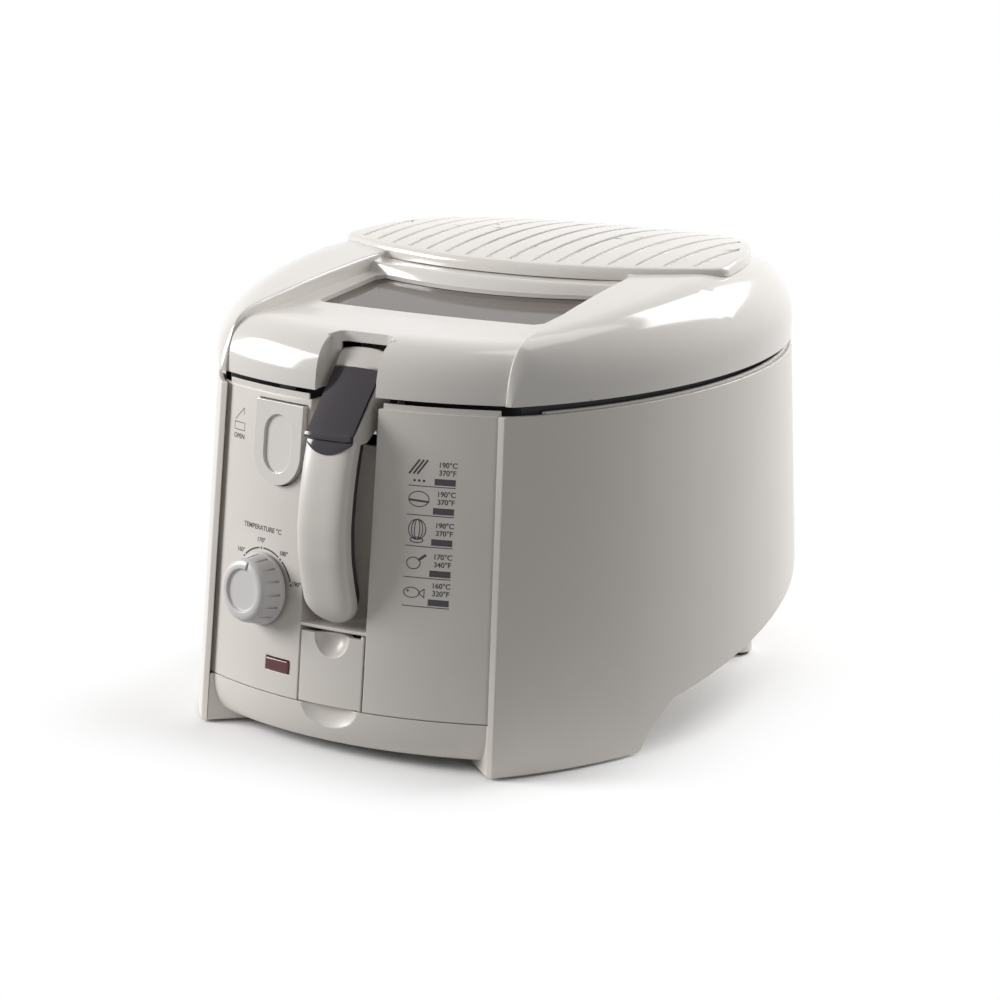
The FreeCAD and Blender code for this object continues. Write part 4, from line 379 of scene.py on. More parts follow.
def weld(piece, reach_mm):
    """Merge corners that a cut left close together."""
    work = bmesh.new()
    work.from_mesh(piece.data)
    bmesh.ops.remove_doubles(work, verts=work.verts, dist=reach_mm / 1000)
    bmesh.ops.dissolve_degenerate(work, edges=work.edges, dist=reach_mm / 1000)
    work.to_mesh(piece.data)
    work.free()
    return piece


def soften(piece, width_mm, keep, angle=38):
    """Round only the sharp edges whose middle, in millimetres from the front feet, passes a test."""
    work = bmesh.new()
    work.from_mesh(piece.data)
    chosen = []
    for edge in work.edges:
        middle = (edge.verts[0].co + edge.verts[1].co) * 500
        sharp = len(edge.link_faces) == 2 and edge.calc_face_angle() > math.radians(angle)
        if sharp and keep(middle.x, middle.y + FEET_TO_MIDDLE, middle.z):
            chosen.append(edge)
    bmesh.ops.bevel(work, geom=chosen, offset=width_mm / 1000, segments=2, affect="EDGES", profile=0.5,
                    clamp_overlap=True)
    work.to_mesh(piece.data)
    work.free()
    return piece


def cut(piece, *cutters):
    """Take closed cutters out of a piece, and drop them."""
    for cutter in cutters:
        modify(piece, "BOOLEAN", operation="DIFFERENCE", solver="EXACT", object=cutter)
        plain(piece)
        bpy.data.objects.remove(cutter)
    return piece


def dress(piece, body, finish, slot, *nodes):
    """Give a finished piece its material and its body, and hide the CAD nodes that it stands for; the slot is
    not used.
    """
    piece.data.materials.clear()
    piece.data.materials.append(FINISH[finish])
    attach(piece, body)
    if nodes:
        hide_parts(*nodes)
    print(piece.name, "rides on", body, "with", len(piece.data.polygons), "faces")
    return piece


# %% [markdown]
# ## Case
# The case is an oval tub that tapers upwards, cut by a leaning plane at the front and by the outline of
# feet, arch and belly below. Columns of points run round the oval and rows climb from the lower outline
# to the rim, so the faces follow the form, and a second grid 3 mm further in gives the wall.

# %% Case
RIM, CASE_WALL = 186, 3
# Half width, half depth and centre of the oval at the floor and at the rim
OVAL_FLOOR, OVAL_RIM = np.array((154.0, 213.0, 170.0)), np.array((146.5, 195.0, 176.0))
FRONT_SETBACK = 20.4
FRONT_LEAN = FRONT_SETBACK / RIM


def circle_of(a, b, c):
    """Centre and radius of the circle through three points of a side view."""
    (ay, az), (by, bz), (cy, cz) = a, b, c
    system = np.array([[by - ay, bz - az], [cy - ay, cz - az]]) * 2
    sides = [by * by + bz * bz - ay * ay - az * az, cy * cy + cz * cz - ay * ay - az * az]
    middle = np.linalg.solve(system, sides)
    return middle, math.dist(middle, a)


FOOT_END, ARCH_END, BELLY_END = 76, 102, 231
FOOT_LEVEL, ARCH_TOP, BELLY_RISE = 1.0, 25, 22
ARCH = circle_of((FOOT_END, FOOT_LEVEL), (84.667, 12.5), (ARCH_END, ARCH_TOP))
TAIL = circle_of((BELLY_END, ARCH_TOP + BELLY_RISE), (311.5, 72), (392, 142))


def underside(depth):
    """Height of the case's lower outline."""
    if depth <= FOOT_END:
        return FOOT_LEVEL
    if depth <= ARCH_END:
        return ARCH[0][1] + math.sqrt(ARCH[1] ** 2 - (depth - ARCH[0][0]) ** 2)
    if depth <= BELLY_END:
        return ARCH_TOP + BELLY_RISE * (depth - ARCH_END) / (BELLY_END - ARCH_END)
    return TAIL[0][1] - math.sqrt(max(TAIL[1] ** 2 - (depth - TAIL[0][0]) ** 2, 0))


def oval(height, inset):
    wide, deep, centre = OVAL_FLOOR + (OVAL_RIM - OVAL_FLOOR) * height / RIM
    return wide - inset, deep - inset, centre


def case_point(share, height, inset):
    """Point of the wall: share 0 is the right front edge, 1 the left one."""
    wide, deep, centre = oval(height, inset)
    first = math.acos((centre - FRONT_LEAN * height) / deep)
    turn = first + share * 2 * (math.pi - first)
    return wide * math.sin(turn), centre - deep * math.cos(turn), height


def case_foot(share, inset):
    height = 20.0
    for _ in range(12):
        height = underside(case_point(share, height, inset)[1])
    return height


# Columns stand closer where the lower outline bends up into the arch
half_round = np.concatenate([np.linspace(0, 0.08, 9), np.linspace(0.09, 0.135, 22),
                             np.linspace(0.145, 0.5, 44)])
shares = np.concatenate([half_round, 1 - half_round[-2::-1]])


def case_grid(inset):
    feet = [case_foot(share, inset) for share in shares]
    return [[case_point(share, foot + (RIM - foot) * climb, inset) for share, foot in zip(shares, feet)]
            for climb in np.linspace(0, 1, 15)]


def ring_grid(inset, low, high, ends):
    """Two rows along the wall, between two shares of the way round."""
    return [[case_point(share, height, inset) for share in np.linspace(*ends, 24)] for height in (low, high)]


# Ribs inside the wall, as ends, heights and insets: ledges over the feet, a lip under the lid and a shelf
CASE_RIBS = (
    ((0.045, 0.085), 2, 5, CASE_WALL - 0.5, 24),
    ((0.915, 0.955), 2, 5, CASE_WALL - 0.5, 24),
    ((0.03, 0.42), 181, 187.2, 2.4, 4.4),
    ((0.58, 0.97), 181, 187.2, 2.4, 4.4),
    ((0.02, 0.98), 173, 176, CASE_WALL - 0.5, 10),
)
case_skin = Skin()
case_skin.shell(case_grid(0), case_grid(CASE_WALL))
for ends, low, high, near, far in CASE_RIBS:
    case_skin.shell(ring_grid(near, low, high, ends), ring_grid(far, low, high, ends))
case_piece = harden(build("case_wall", case_skin), 0.7)
dress(case_piece, "case", "satin_abs", "white_plastic", "body_shell")

# %% [markdown]
# ## Lid
# The lid has two crowned shoulders and, between them, a lower band that holds the window. The shoulders
# are sections across the lid at a row of depths: side wall, shoulder bend, top, and a small fillet at the
# ridge. The band is turned about an upright axis, so its rows follow circles at the front and straighten
# towards the window. Walls between the two close the skin, and Solidify gives it its thickness.

# %% Lid outlines
LID_FOOT, LID_FRONT, LID_REAR, LID_WALL = 191, 22.8, 361, 2.5
# Rise of the shoulders over the lid's foot, by share of the way back
LID_RISE = np.array((
    (0, 0.8), (0.0021, 4.4), (0.0047, 8.6), (0.0112, 16.2), (0.0169, 20.6), (0.0225, 24.3), (0.0272, 26.6),
    (0.0302, 27.8), (0.035, 29.2), (0.042, 30.3), (0.054, 31.35), (0.08, 32.9), (0.111, 34.4), (0.177, 37.4),
    (0.24, 40), (0.306, 42.4), (0.394, 45), (0.46, 46.4), (0.53, 47.1), (0.6, 47.2), (0.672, 46.5),
    (0.75, 44.4), (0.82, 41), (0.923, 31), (0.968, 24), (1, 17)))
BEND_MOST, BEND_OF_RISE, BEND_OF_HALF, BEND_EASE = 36, 0.8, 0.6, 1.6
BAND_CENTRE, BAND_RADIUS, BAND_TOP, BAND_REAR = 233, 226, 219.8, 168
BAND_FLAT, BAND_CLIMB = 72, 9.2
RIDGE_FRONT, RIDGE_NARROWING, RIDGE_REAR = 87.2, 7.2, 80
# Roll of the band's front: how far it has turned in, and its height there
BAND_ROLL = np.array(((0, 193), (1.2, 201), (3, 206.6), (5.5, 211), (9, 214.6), (14, 217.6), (20, 219.3),
                      (26, 219.75), (32, BAND_TOP)))


def eased(table, place):
    """Height at a place, on a curve through a table that never overshoots its points."""
    across, up = table[:, 0], table[:, 1]
    slopes = np.diff(up) / np.diff(across)
    tangents = [slopes[0]]
    for left, right in zip(slopes, slopes[1:]):
        tangents.append(0.0 if left * right <= 0 else 2 * left * right / (left + right))
    tangents.append(slopes[-1])
    index = min(max(int(np.searchsorted(across, place)) - 1, 0), len(slopes) - 1)
    span = across[index + 1] - across[index]
    t = (place - across[index]) / span
    return ((1 + 2 * t) * (1 - t) ** 2 * up[index] + t * (1 - t) ** 2 * span * tangents[index]
            + t * t * (3 - 2 * t) * up[index + 1] + t * t * (t - 1) * span * tangents[index + 1])


def lid_half(depth):
    """Half the lid's width, which follows the rim of the case."""
    wide, deep, centre = map(float, OVAL_RIM)
    return wide * math.sqrt(1 - ((depth - centre) / deep) ** 2)


def lid_rise(depth):
    return eased(LID_RISE, (depth - LID_FRONT) / (LID_REAR - LID_FRONT))


def lid_bend(depth):
    """Radius of the shoulder bend: the least of three limits, with the change between them eased."""
    limits = (BEND_MOST, BEND_OF_RISE * lid_rise(depth), BEND_OF_HALF * lid_half(depth))
    return -BEND_EASE * math.log(sum(math.exp(-limit / BEND_EASE) for limit in limits))


def ridge(depth):
    """Half the width between the inner edges of the shoulders."""
    if depth > BAND_REAR:
        return RIDGE_REAR * lid_half(depth) / lid_half(BAND_REAR)
    return RIDGE_FRONT - RIDGE_NARROWING * max(depth - FRONT_SETBACK, 0) / (BAND_REAR - FRONT_SETBACK)


def lid_height(across, depth):
    """Height of the shoulders' outer skin."""
    half, bend, top = lid_half(depth), lid_bend(depth), LID_FOOT + lid_rise(depth)
    over = max(abs(across) - (half - bend), 0)
    return top - bend + math.sqrt(max(bend * bend - over * over, 0))


def band_level(depth):
    """Height of the band's skin behind its roll."""
    return BAND_TOP + BAND_CLIMB * (depth - BAND_FLAT) / (BAND_REAR - BAND_FLAT)


def roll_depth(across, height):
    """Depth of the band's outer skin at a height."""
    radius = BAND_RADIUS - eased(BAND_ROLL[:, ::-1], min(max(height, BAND_ROLL[0, 1]), BAND_TOP))
    return BAND_CENTRE - math.sqrt(radius * radius - across * across)


# Behind the window a bowed wall climbs from the band to the ledge that the filter cover stands on
LEDGE = 232.6


def window_front(across):
    return 83 + 0.0005 * across * across


def wall_foot(across):
    return 139 + 0.0021 * across * across


def wall_top(across):
    return 146 + 0.0015 * across * across


# %% Lid skin
RIDGE_FILLET, WINDOW_BEHIND = 1.8, 132


def along(points, count):
    """Points at even steps along a polyline."""
    points = np.array(points)
    reach = np.concatenate([[0], np.cumsum(np.linalg.norm(np.diff(points, axis=0), axis=1))])
    steps = np.linspace(0, reach[-1], count)
    return np.stack([np.interp(steps, reach, points[:, axis]) for axis in range(points.shape[1])], axis=1)


def shoulder(depth, floor):
    """Right half of the lid at a depth, from its foot over the bend to the ridge's fillet."""
    half, bend, top, stop = lid_half(depth), lid_bend(depth), LID_FOOT + lid_rise(depth), ridge(depth)
    centre = half - bend
    last = math.acos(min(max((stop - centre) / bend, 0), 1))
    profile = [(half, LID_FOOT)]
    profile += [(centre + bend * math.cos(turn), top - bend + bend * math.sin(turn))
                for turn in np.linspace(0, last, 40)]
    if stop < centre:
        profile.append((stop, top))
    corner = np.array(profile[-1])
    steps = along(profile, 80)
    fillet = 0.0
    if depth < BAND_REAR:
        fillet = max(min(RIDGE_FILLET, 0.7 * (corner[1] - floor), 0.2 * (BAND_REAR - depth)), 0.02)
    if fillet:
        kept = [point for point in steps if math.dist(point, corner) > fillet] + [steps[0]]
        before = kept[-2] if len(kept) > 1 else steps[0]
        below = corner - (0, fillet)
        bend_points = [before * (1 - t) ** 2 + corner * 2 * t * (1 - t) + below * t * t
                       for t in np.linspace(0, 1, 7)]
        main = along(kept[:-1], 34) if len(kept) > 3 else along([steps[0], before], 34)
        steps = np.concatenate([main[:-1], bend_points])
    else:
        steps = along(profile, 40)
    return [(x, depth, z) for x, z in steps]


def band_rows():
    """Rows of the band from front to back: kind, a radius, share or depth, and a height where it is fixed."""
    turned_in = [0, 0.4, 0.8, 1.2, 2, 3, 4, 5.5, 7, 9, 11.5, 14, 17, 20, 23, 26, 29, 32]
    rows = [("roll", BAND_RADIUS, LID_FOOT)]
    rows += [("roll", BAND_RADIUS - inset, eased(BAND_ROLL, inset)) for inset in turned_in]
    rows += [("flat", share, BAND_TOP) for share in (0.5, 1.0)]
    rows += [("rise", depth, band_level(depth)) for depth in range(BAND_FLAT + 4, WINDOW_BEHIND + 1, 4)]
    rows += [("near", share, None) for share in (0.25, 0.5, 0.75)]
    rows += [("wall", share, None) for share in np.linspace(0, 1, 7)]
    return rows + [("rise", depth, LEDGE) for depth in (162, BAND_REAR)]


def band_point(row, across):
    kind, value, height = row
    depth = value if kind == "rise" else 40.0
    for _ in range(6):
        x = across * ridge(depth)
        if kind == "roll":
            depth = BAND_CENTRE - math.sqrt(value * value - x * x)
        elif kind == "flat":
            depth = (1 - value) * roll_depth(x, BAND_TOP) + value * BAND_FLAT
        elif kind == "near":
            depth = WINDOW_BEHIND + (wall_foot(x) - WINDOW_BEHIND) * value
        elif kind == "wall":
            depth = wall_foot(x) + (wall_top(x) - wall_foot(x)) * value
    if kind == "near":
        height = band_level(depth)
    if kind == "wall":
        low = band_level(wall_foot(x))
        height = low + (LEDGE - low) * math.sin(math.radians(100 * value)) / math.sin(math.radians(100))
    return across * ridge(depth), depth, height


columns = np.linspace(-1, 1, 41)
band = [[band_point(row, across) for across in columns] for row in band_rows()]
edge = [row[-1] for row in band]
nose = [(depth, LID_FOOT) for depth in (LID_FRONT, 23.2, 23.6, 24.0)]
front_stations = nose + [(point[1], point[2]) for point in edge[1:]]
rear_depths = [*np.linspace(BAND_REAR, 328, 29), 333, 338, 342.5, 346.5, 350, 353, 356, 358.5, LID_REAR]

lid_skin = Skin()
lid_skin.strip(band)
front_rows = [shoulder(depth, floor) for depth, floor in front_stations]
rear_rows = [shoulder(depth, 0) for depth in rear_depths]
tops = [[(across * ridge(depth), depth, LID_FOOT + lid_rise(depth)) for across in columns]
        for depth in rear_depths]
lid_skin.strip(tops)
lid_skin.strip([band[-1], tops[0]])


def mirrored(rows, side):
    return [[(side * x, y, z) for x, y, z in row] for row in rows]


for side in (-1, 1):
    for rows in (front_rows, rear_rows):
        lid_skin.strip(mirrored(rows, side))
    inner = [row[-1] for row in front_rows]
    floors = [(ridge(depth), depth, floor) for depth, floor in front_stations]
    lid_skin.strip(mirrored([inner, floors], side))
    lid_skin.face([(side * x, y, z) for x, y, z in (edge[0], edge[1], floors[len(nose) - 1])])
    lid_skin.face([(side * x, y, z) for x, y, z in front_rows[0] + [floors[0]]])
lid_skin.face(mirrored(rear_rows, 1)[-1] + tops[-1][::-1][1:-1] + mirrored(rear_rows, -1)[-1][::-1])
lid_piece = build("lid_moulding", lid_skin, Vector((0, 0, 1)))
modify(lid_piece, "SOLIDIFY", thickness=LID_WALL / 1000, offset=-1, use_even_offset=False)
plain(lid_piece)
print("lid skin:", len(lid_piece.data.polygons), "faces before the openings")


# %% [markdown]
# The openings of the lid are cut with closed prisms: a notch and a drum at the front for the handle, a
# bowed window, and a square well for the filters under the cover.

# %% Lid openings
def prism(name, outline, low, high, axis):
    """Closed prism: an outline of points in the plane across an axis, carried from low to high."""
    def lifted(value):
        return [[a, b][:axis] + [value] + [a, b][axis:] for a, b in outline]
    return loft(name, [lifted(low), lifted(high)])


def arc(centre, radius, start, stop, count):
    """Points on a circle between two angles in degrees."""
    turns = [math.radians(turn) for turn in np.linspace(start, stop, count)]
    return [(centre[0] + radius * math.cos(turn), centre[1] + radius * math.sin(turn)) for turn in turns]


def rounded_box(low, high, radius, count=8):
    """Outline of a rectangle with round corners."""
    (x0, y0), (x1, y1) = low, high
    spots = ((x1 - radius, y1 - radius, 0), (x0 + radius, y1 - radius, 90), (x0 + radius, y0 + radius, 180),
             (x1 - radius, y0 + radius, 270))
    return [point for x, y, turn in spots for point in arc((x, y), radius, turn, turn + 90, count)]


WINDOW_HALF, WINDOW_CORNER = 71, 4


def window_outline(grown):
    """Outline of the window: bowed front and rear edges, with cut corners that the bevel rounds."""
    half, corner = WINDOW_HALF + grown, WINDOW_CORNER + grown
    span = np.linspace(-half + corner, half - corner, 41)
    front = [(x, window_front(x) - grown) for x in span]
    rear = [(x, wall_foot(x) - 0.4 + grown) for x in span[::-1]]
    middle = [(half, front[-1][1] + corner), (half, rear[0][1] - corner)]
    return front + middle + rear + [(-half, rear[-1][1] - corner), (-half, front[0][1] + corner)]


PIVOT, NOTCH_HALF, DRUM_CLEAR = (36, 195), 18.8, 19.4
NOTCH_BACK, NOTCH_ROUND = 29.0, 7.0
WELL_HALF, WELL_FRONT, WELL_REAR = 75.8, 184.2, 287.8


def notch_path(grown, front):
    """Plan of the notch, from its right front end round the back to its left front end."""
    side, turn = NOTCH_HALF + grown, NOTCH_ROUND + grown
    right = [(side, y) for y in np.linspace(front, NOTCH_BACK - NOTCH_ROUND, 6)[:-1]]
    right += arc((NOTCH_HALF - NOTCH_ROUND, NOTCH_BACK - NOTCH_ROUND), turn, 0, 90, 10)
    return right + [(-x, y) for x, y in right[::-1]]


cut(lid_piece,
    prism("notch_cutter", notch_path(0, -60), 150, 260, 2),
    prism("drum_cutter", arc(PIVOT, DRUM_CLEAR, 0, 354, 60), -NOTCH_HALF, NOTCH_HALF, 0),
    prism("window_cutter", window_outline(0), 200, 260, 2),
    prism("filter_cutter", rounded_box((-WELL_HALF, WELL_FRONT), (WELL_HALF, WELL_REAR), 2), 219, 260, 2))
print("lid openings cut:", len(lid_piece.data.polygons), "faces")

# %% [markdown]
# The lid turns on two knuckles at the back. They are small barrels, each with a web up to the rear wall. The
# moulding's edges and theirs are rounded first, and then they are joined to the moulding.

# %% Lid knuckles
HINGE_AXIS, HINGE_RADIUS, HINGE_BORE = (376, 190), 5.5, 2.75
KNUCKLE_INNER, KNUCKLE_OUTER = 12.4, 25.6
KNUCKLE_WEB = [(357, 193), (359.4, 203), (375, 195.2), (371.4, 192.6), (370.7, 191)]


def barrel(name, radius, bore, start, stop, centre):
    """Tube along the width, from start to stop."""
    skin = Skin()
    rings = [[(x, *point) for point in arc(centre, size, 0, 352.5, 48)]
             for size, x in ((radius, start), (radius, stop), (bore, stop), (bore, start), (radius, start))]
    skin.strip(rings, closed=True)
    return build(name, skin)


def merge(name, pieces):
    """One object from several, each keeping its own faces."""
    work = bmesh.new()
    for piece in pieces:
        work.from_mesh(piece.data)
        bpy.data.objects.remove(piece)
    mesh = bpy.data.meshes.new(name)
    work.to_mesh(mesh)
    work.free()
    return link(name, mesh)


knuckles = []
for side in (-1, 1):
    low, high = sorted((side * KNUCKLE_INNER, side * KNUCKLE_OUTER))
    knuckles.append(barrel("knuckle", HINGE_RADIUS, HINGE_BORE, low, high, HINGE_AXIS))
    knuckles.append(prism("knuckle_web", KNUCKLE_WEB, low, high, 0))


def away_from_nose(x, y, z):
    """Window and rim edges, but not the tight corners where the shoulders meet the band."""
    in_window = abs(x) < 74 and 80 < y < 150 and z > 200
    on_rim = z < 192 and y > 60
    return in_window or on_rim


def on_notch(x, y, z):
    """Upper edge of the notch, on the band's outer skin."""
    near_front = y < 31 and z > 192 and abs(y - roll_depth(x, z)) < 1.0
    return abs(x) < NOTCH_HALF + 0.7 and (near_front or z > 219)


weld(lid_piece, 0.15)
soften(lid_piece, 0.9, on_notch, 50)
soften(lid_piece, 0.6, away_from_nose)
lid_piece = merge("lid_moulding", [lid_piece] + [harden(piece, 0.4) for piece in knuckles])
harden(lid_piece, 0)
dress(lid_piece, "lid", "gloss_abs", "white_plastic", "lid_shell")

# %% [markdown]
# The notch for the handle is lined: an upright wall follows it round the back, and a hood covers the drum, so
# nothing of the hollow lid shows. Both keep clear of the slider when the handle is swung out. The window pane
# lies under its opening with a lap all round.

# %% Notch lining and window pane
LINING, WALL_CLEAR, HOOD_CLEAR, HOOD_WALL, DRUM_HALF = 1.2, 0.8, 0.3, 1.3, 15.6
HOOD_FRONT, HOOD_REAR = 106, 10


def lining_rows(grown):
    """Rows up the notch's wall, each starting just behind the band's skin."""
    rows = []
    for height in np.linspace(191.3, 218.6, 18):
        front = min(roll_depth(NOTCH_HALF, height) + 1.4, NOTCH_BACK - NOTCH_ROUND - 0.1)
        rows.append([(x, y, height) for x, y in notch_path(grown, front)])
    return rows


lining_skin = Skin()
lining_skin.shell(lining_rows(0.03), lining_rows(LINING))
lining = cut(build("notch_lining", lining_skin),
             prism("drum_room", arc(PIVOT, DRUM_CLEAR + WALL_CLEAR, 0, 354, 60), -DRUM_HALF, DRUM_HALF, 0))
hood = arc(PIVOT, DRUM_CLEAR + HOOD_CLEAR, HOOD_FRONT, HOOD_REAR, 24)
hood += arc(PIVOT, DRUM_CLEAR + HOOD_CLEAR + HOOD_WALL, HOOD_REAR, HOOD_FRONT, 24)
lining = merge("notch_lining", [lining, prism("drum_hood", hood, -NOTCH_HALF, NOTCH_HALF, 0)])
dress(harden(lining, 0), "lid", "gloss_abs", "white_plastic")


def window_slab(name, grown, high, low):
    """Slab under the band, between two drops below its skin."""
    outline = window_outline(grown)
    return loft(name, [[(x, y, band_level(y) - drop) for x, y in outline] for drop in (high, low)])


PANE_LAP = 4.5
dress(harden(window_slab("window_pane", PANE_LAP, 2.6, 5.1), 0.3),
      "lid", "smoked", "smoked_glass", "viewing_window")
gasket = cut(window_slab("gasket_ring", PANE_LAP, 5.15, 6.2), window_slab("gasket_hole", -0.6, 4, 8))
dress(harden(gasket, 0.2), "lid", "rubber", "rubber", "window_gasket")

# %% [markdown]
# ## Filter cover
# The cover over the filters is a shallow cap. Its front edge is bowed like the front of the fryer, and its
# back is round. Its wall is a ring that follows the lid's own skin, and its top is rings that close on one
# point, so the crown's highlight runs without a break. The grooves repeat at one pitch, so Geometry Nodes
# cut them: a line of bars, each clipped by a plug that keeps a margin inside the outline, is taken out of
# the cap. The same tree runs twice, for sixteen shallow grooves and for the six vents at the bottom of the
# middle ones.

# %% Filter cover cap
COVER_FRONT, COVER_WALL, COVER_ROUND, COVER_MIDDLE = 154.5, 2.5, 3.2, 235
COVER_SIDE, COVER_DEEP, COVER_CENTRE, COVER_CORNER = 125.5, 161, 176, 7
CROWN = circle_of((154, 239.3), (246, 245.9), (338, 233))
CROWN_FALL, CROWN_REACH = 4.2, 125


def crown(depth, across=0.0):
    """Height of the cover's top, which falls a little to both sides."""
    along_middle = CROWN[0][1] + math.sqrt(CROWN[1] ** 2 - (depth - CROWN[0][0]) ** 2)
    return along_middle - CROWN_FALL * (across / CROWN_REACH) ** 2


def cover_outline(inset):
    """Outline of the cover, drawn in by an inset: bowed front, round corners, oval sides and back."""
    wide, deep, front = COVER_SIDE - inset, COVER_DEEP - inset, COVER_FRONT + inset

    def bow(x):
        return front + BAND_RADIUS - math.sqrt(BAND_RADIUS ** 2 - x * x)

    def side(turn):
        return wide * math.cos(turn), COVER_CENTRE + deep * math.sin(turn)

    corner_y = bow(wide)
    reach, turn = wide - COVER_CORNER, math.asin((corner_y + COVER_CORNER - COVER_CENTRE) / deep)
    start, tip, stop = np.array((reach, bow(reach))), np.array((wide, corner_y)), np.array(side(turn))
    right = [tuple(start * (1 - t) ** 2 + tip * 2 * t * (1 - t) + stop * t * t)
             for t in np.linspace(0, 1, 10)]
    rear = [side(t) for t in np.linspace(turn, math.pi - turn, 75)[1:-1]]
    left = [(-x, y) for x, y in right[::-1]]
    return [(x, bow(x)) for x in np.linspace(-reach, reach, 35)[1:-1]] + right + rear + left


def cover_seat(x, y):
    """Height of the lid under the cover."""
    return LEDGE if y < BAND_REAR and abs(x) < ridge(y) + 0.5 else lid_height(x, y)


def cover_rings(inset, drop, foot_gap):
    """Rings from the foot of the wall up over the rounding to the middle of the top."""
    base = cover_outline(inset)
    rings = [[(x, y, min(cover_seat(x, y), crown(y, x) - drop - COVER_ROUND - 1) + foot_gap)
              for x, y in base]]
    round_off = max(COVER_ROUND - inset, 0.5)
    for turn in np.linspace(0, math.pi / 2, 7):
        fall, pull = round_off * (1 - math.sin(turn)), round_off * (1 - math.cos(turn))
        rings.append([(x, y, crown(y, x) - drop - fall) for x, y in cover_outline(inset + pull)])
    last = [(x, y) for x, y, _ in rings[-1]]
    for share in np.linspace(0.94, 0, 16):
        ring = [(x * share, COVER_MIDDLE + (y - COVER_MIDDLE) * share) for x, y in last]
        rings.append([(x, y, crown(y, x) - drop) for x, y in ring])
    return rings


cover_skin = Skin()
COVER_GAP = 0.4
outer, inner = cover_rings(0, 0, COVER_GAP), cover_rings(COVER_WALL, COVER_WALL, COVER_GAP)
cover_skin.strip(outer, closed=True)
cover_skin.strip([ring[::-1] for ring in inner], closed=True)
cover_skin.strip([inner[0], outer[0]], closed=True)
cover_piece = build("cover_moulding", cover_skin)
print("cover cap:", len(cover_piece.data.polygons), "faces")


# %% Cover grooves
def socket(group, name, kind, value=None):
    """Give a node group a named input."""
    entry = group.interface.new_socket(name, in_out="INPUT", socket_type=kind)
    if value is not None:
        entry.default_value = value


def new_group(name):
    """Geometry node group with a geometry output."""
    group = bpy.data.node_groups.new(name, "GeometryNodeTree")
    group.interface.new_socket("Geometry", in_out="OUTPUT", socket_type="NodeSocketGeometry")
    return group


def finish_group(group, geometry, material):
    """Close a tree: instances made real, a material set, and the output linked."""
    real = add_node(group, "GeometryNodeRealizeInstances", None, {"Geometry": geometry})
    coloured = add_node(group, "GeometryNodeSetMaterial", {"Material": material},
                        {"Geometry": real.outputs[0]})
    add_node(group, "NodeGroupOutput", None, {"Geometry": coloured.outputs[0]})


def run_group(piece, group, **values):
    """Put a group on a piece, set its inputs by identifier, and bake it."""
    modifier = modify(piece, "NODES")
    modifier.node_group = group
    for entry in group.interface.items_tree:
        if entry.in_out == "INPUT" and entry.name in values:
            modifier[entry.identifier] = values[entry.name]
    return plain(piece)


vents = new_group("cover_grooves")
socket(vents, "Cap", "NodeSocketGeometry")
socket(vents, "Count", "NodeSocketInt", 16)
socket(vents, "Pitch", "NodeSocketFloat", 0.0144)
socket(vents, "Width", "NodeSocketFloat", 0.003)
socket(vents, "Plug", "NodeSocketObject")
given = add_node(vents, "NodeGroupInput").outputs
gaps = add_node(vents, "ShaderNodeMath", {"operation": "SUBTRACT", 1: 1.0}, {0: given["Count"]})
reach = add_node(vents, "ShaderNodeMath", {"operation": "MULTIPLY", 1: -0.5}, {0: gaps.outputs[0]})
first = add_node(vents, "ShaderNodeMath", {"operation": "MULTIPLY"},
                 {0: reach.outputs[0], 1: given["Pitch"]})
start = add_node(vents, "ShaderNodeCombineXYZ", {"Z": 0.24, "Y": 0.0735}, {"X": first.outputs[0]})
step = add_node(vents, "ShaderNodeCombineXYZ", None, {"X": given["Pitch"]})
row = add_node(vents, "GeometryNodeMeshLine", None,
               {"Count": given["Count"], "Start Location": start.outputs[0], "Offset": step.outputs[0]})
size = add_node(vents, "ShaderNodeCombineXYZ", {"Y": 0.3, "Z": 0.1}, {"X": given["Width"]})
bar = add_node(vents, "GeometryNodeMeshCube", None, {"Size": size.outputs[0]})
bars = add_node(vents, "GeometryNodeInstanceOnPoints", None,
                {"Points": row.outputs[0], "Instance": bar.outputs[0]})
solid_bars = add_node(vents, "GeometryNodeRealizeInstances", None, {"Geometry": bars.outputs[0]})
plug_mesh = add_node(vents, "GeometryNodeObjectInfo", None, {"Object": given["Plug"]})
clipped = add_node(vents, "GeometryNodeMeshBoolean", {"operation": "INTERSECT", "solver": "EXACT"})
vents.links.new(solid_bars.outputs[0], clipped.inputs["Mesh 2"])
vents.links.new(plug_mesh.outputs["Geometry"], clipped.inputs["Mesh 2"])
open_cap = add_node(vents, "GeometryNodeMeshBoolean", {"operation": "DIFFERENCE", "solver": "EXACT"},
                    {"Mesh 1": given["Cap"], "Mesh 2": clipped.outputs[0]})
finish_group(vents, open_cap.outputs[0], FINISH["gloss_abs"])


PLUG_TOP = 262


def groove_plug(name, margin, depth_from, depth_to, sunk):
    """Plug that the bars are clipped to: the outline less a margin, from below the crown upwards."""
    outline = [(x, min(max(y, depth_from), depth_to)) for x, y in cover_outline(margin)]

    def ring(share, on_crown):
        spots = [(x * share, COVER_MIDDLE + (y - COVER_MIDDLE) * share) for x, y in outline]
        return [(x, y, crown(y, x) - sunk if on_crown else PLUG_TOP) for x, y in spots]

    skin = Skin()
    skin.strip([ring(1, True), ring(1, False)], closed=True)
    for on_crown in (True, False):
        skin.strip([ring(share, on_crown) for share in np.linspace(1, 0, 21)], closed=True)
    return build(name, skin)


groove_clip = groove_plug("groove_clip", 6, 0, 400, 1.4)
vent_clip = groove_plug("vent_clip", 9, 188, 284, 8)
run_group(cover_piece, vents, Count=16, Plug=groove_clip)
run_group(cover_piece, vents, Count=6, Width=0.0022, Plug=vent_clip)
for clip in (groove_clip, vent_clip):
    bpy.data.objects.remove(clip)
harden(cover_piece, 0.35, 2)
dress(cover_piece, "cover", "gloss_abs", "white_plastic", "filter_cover")

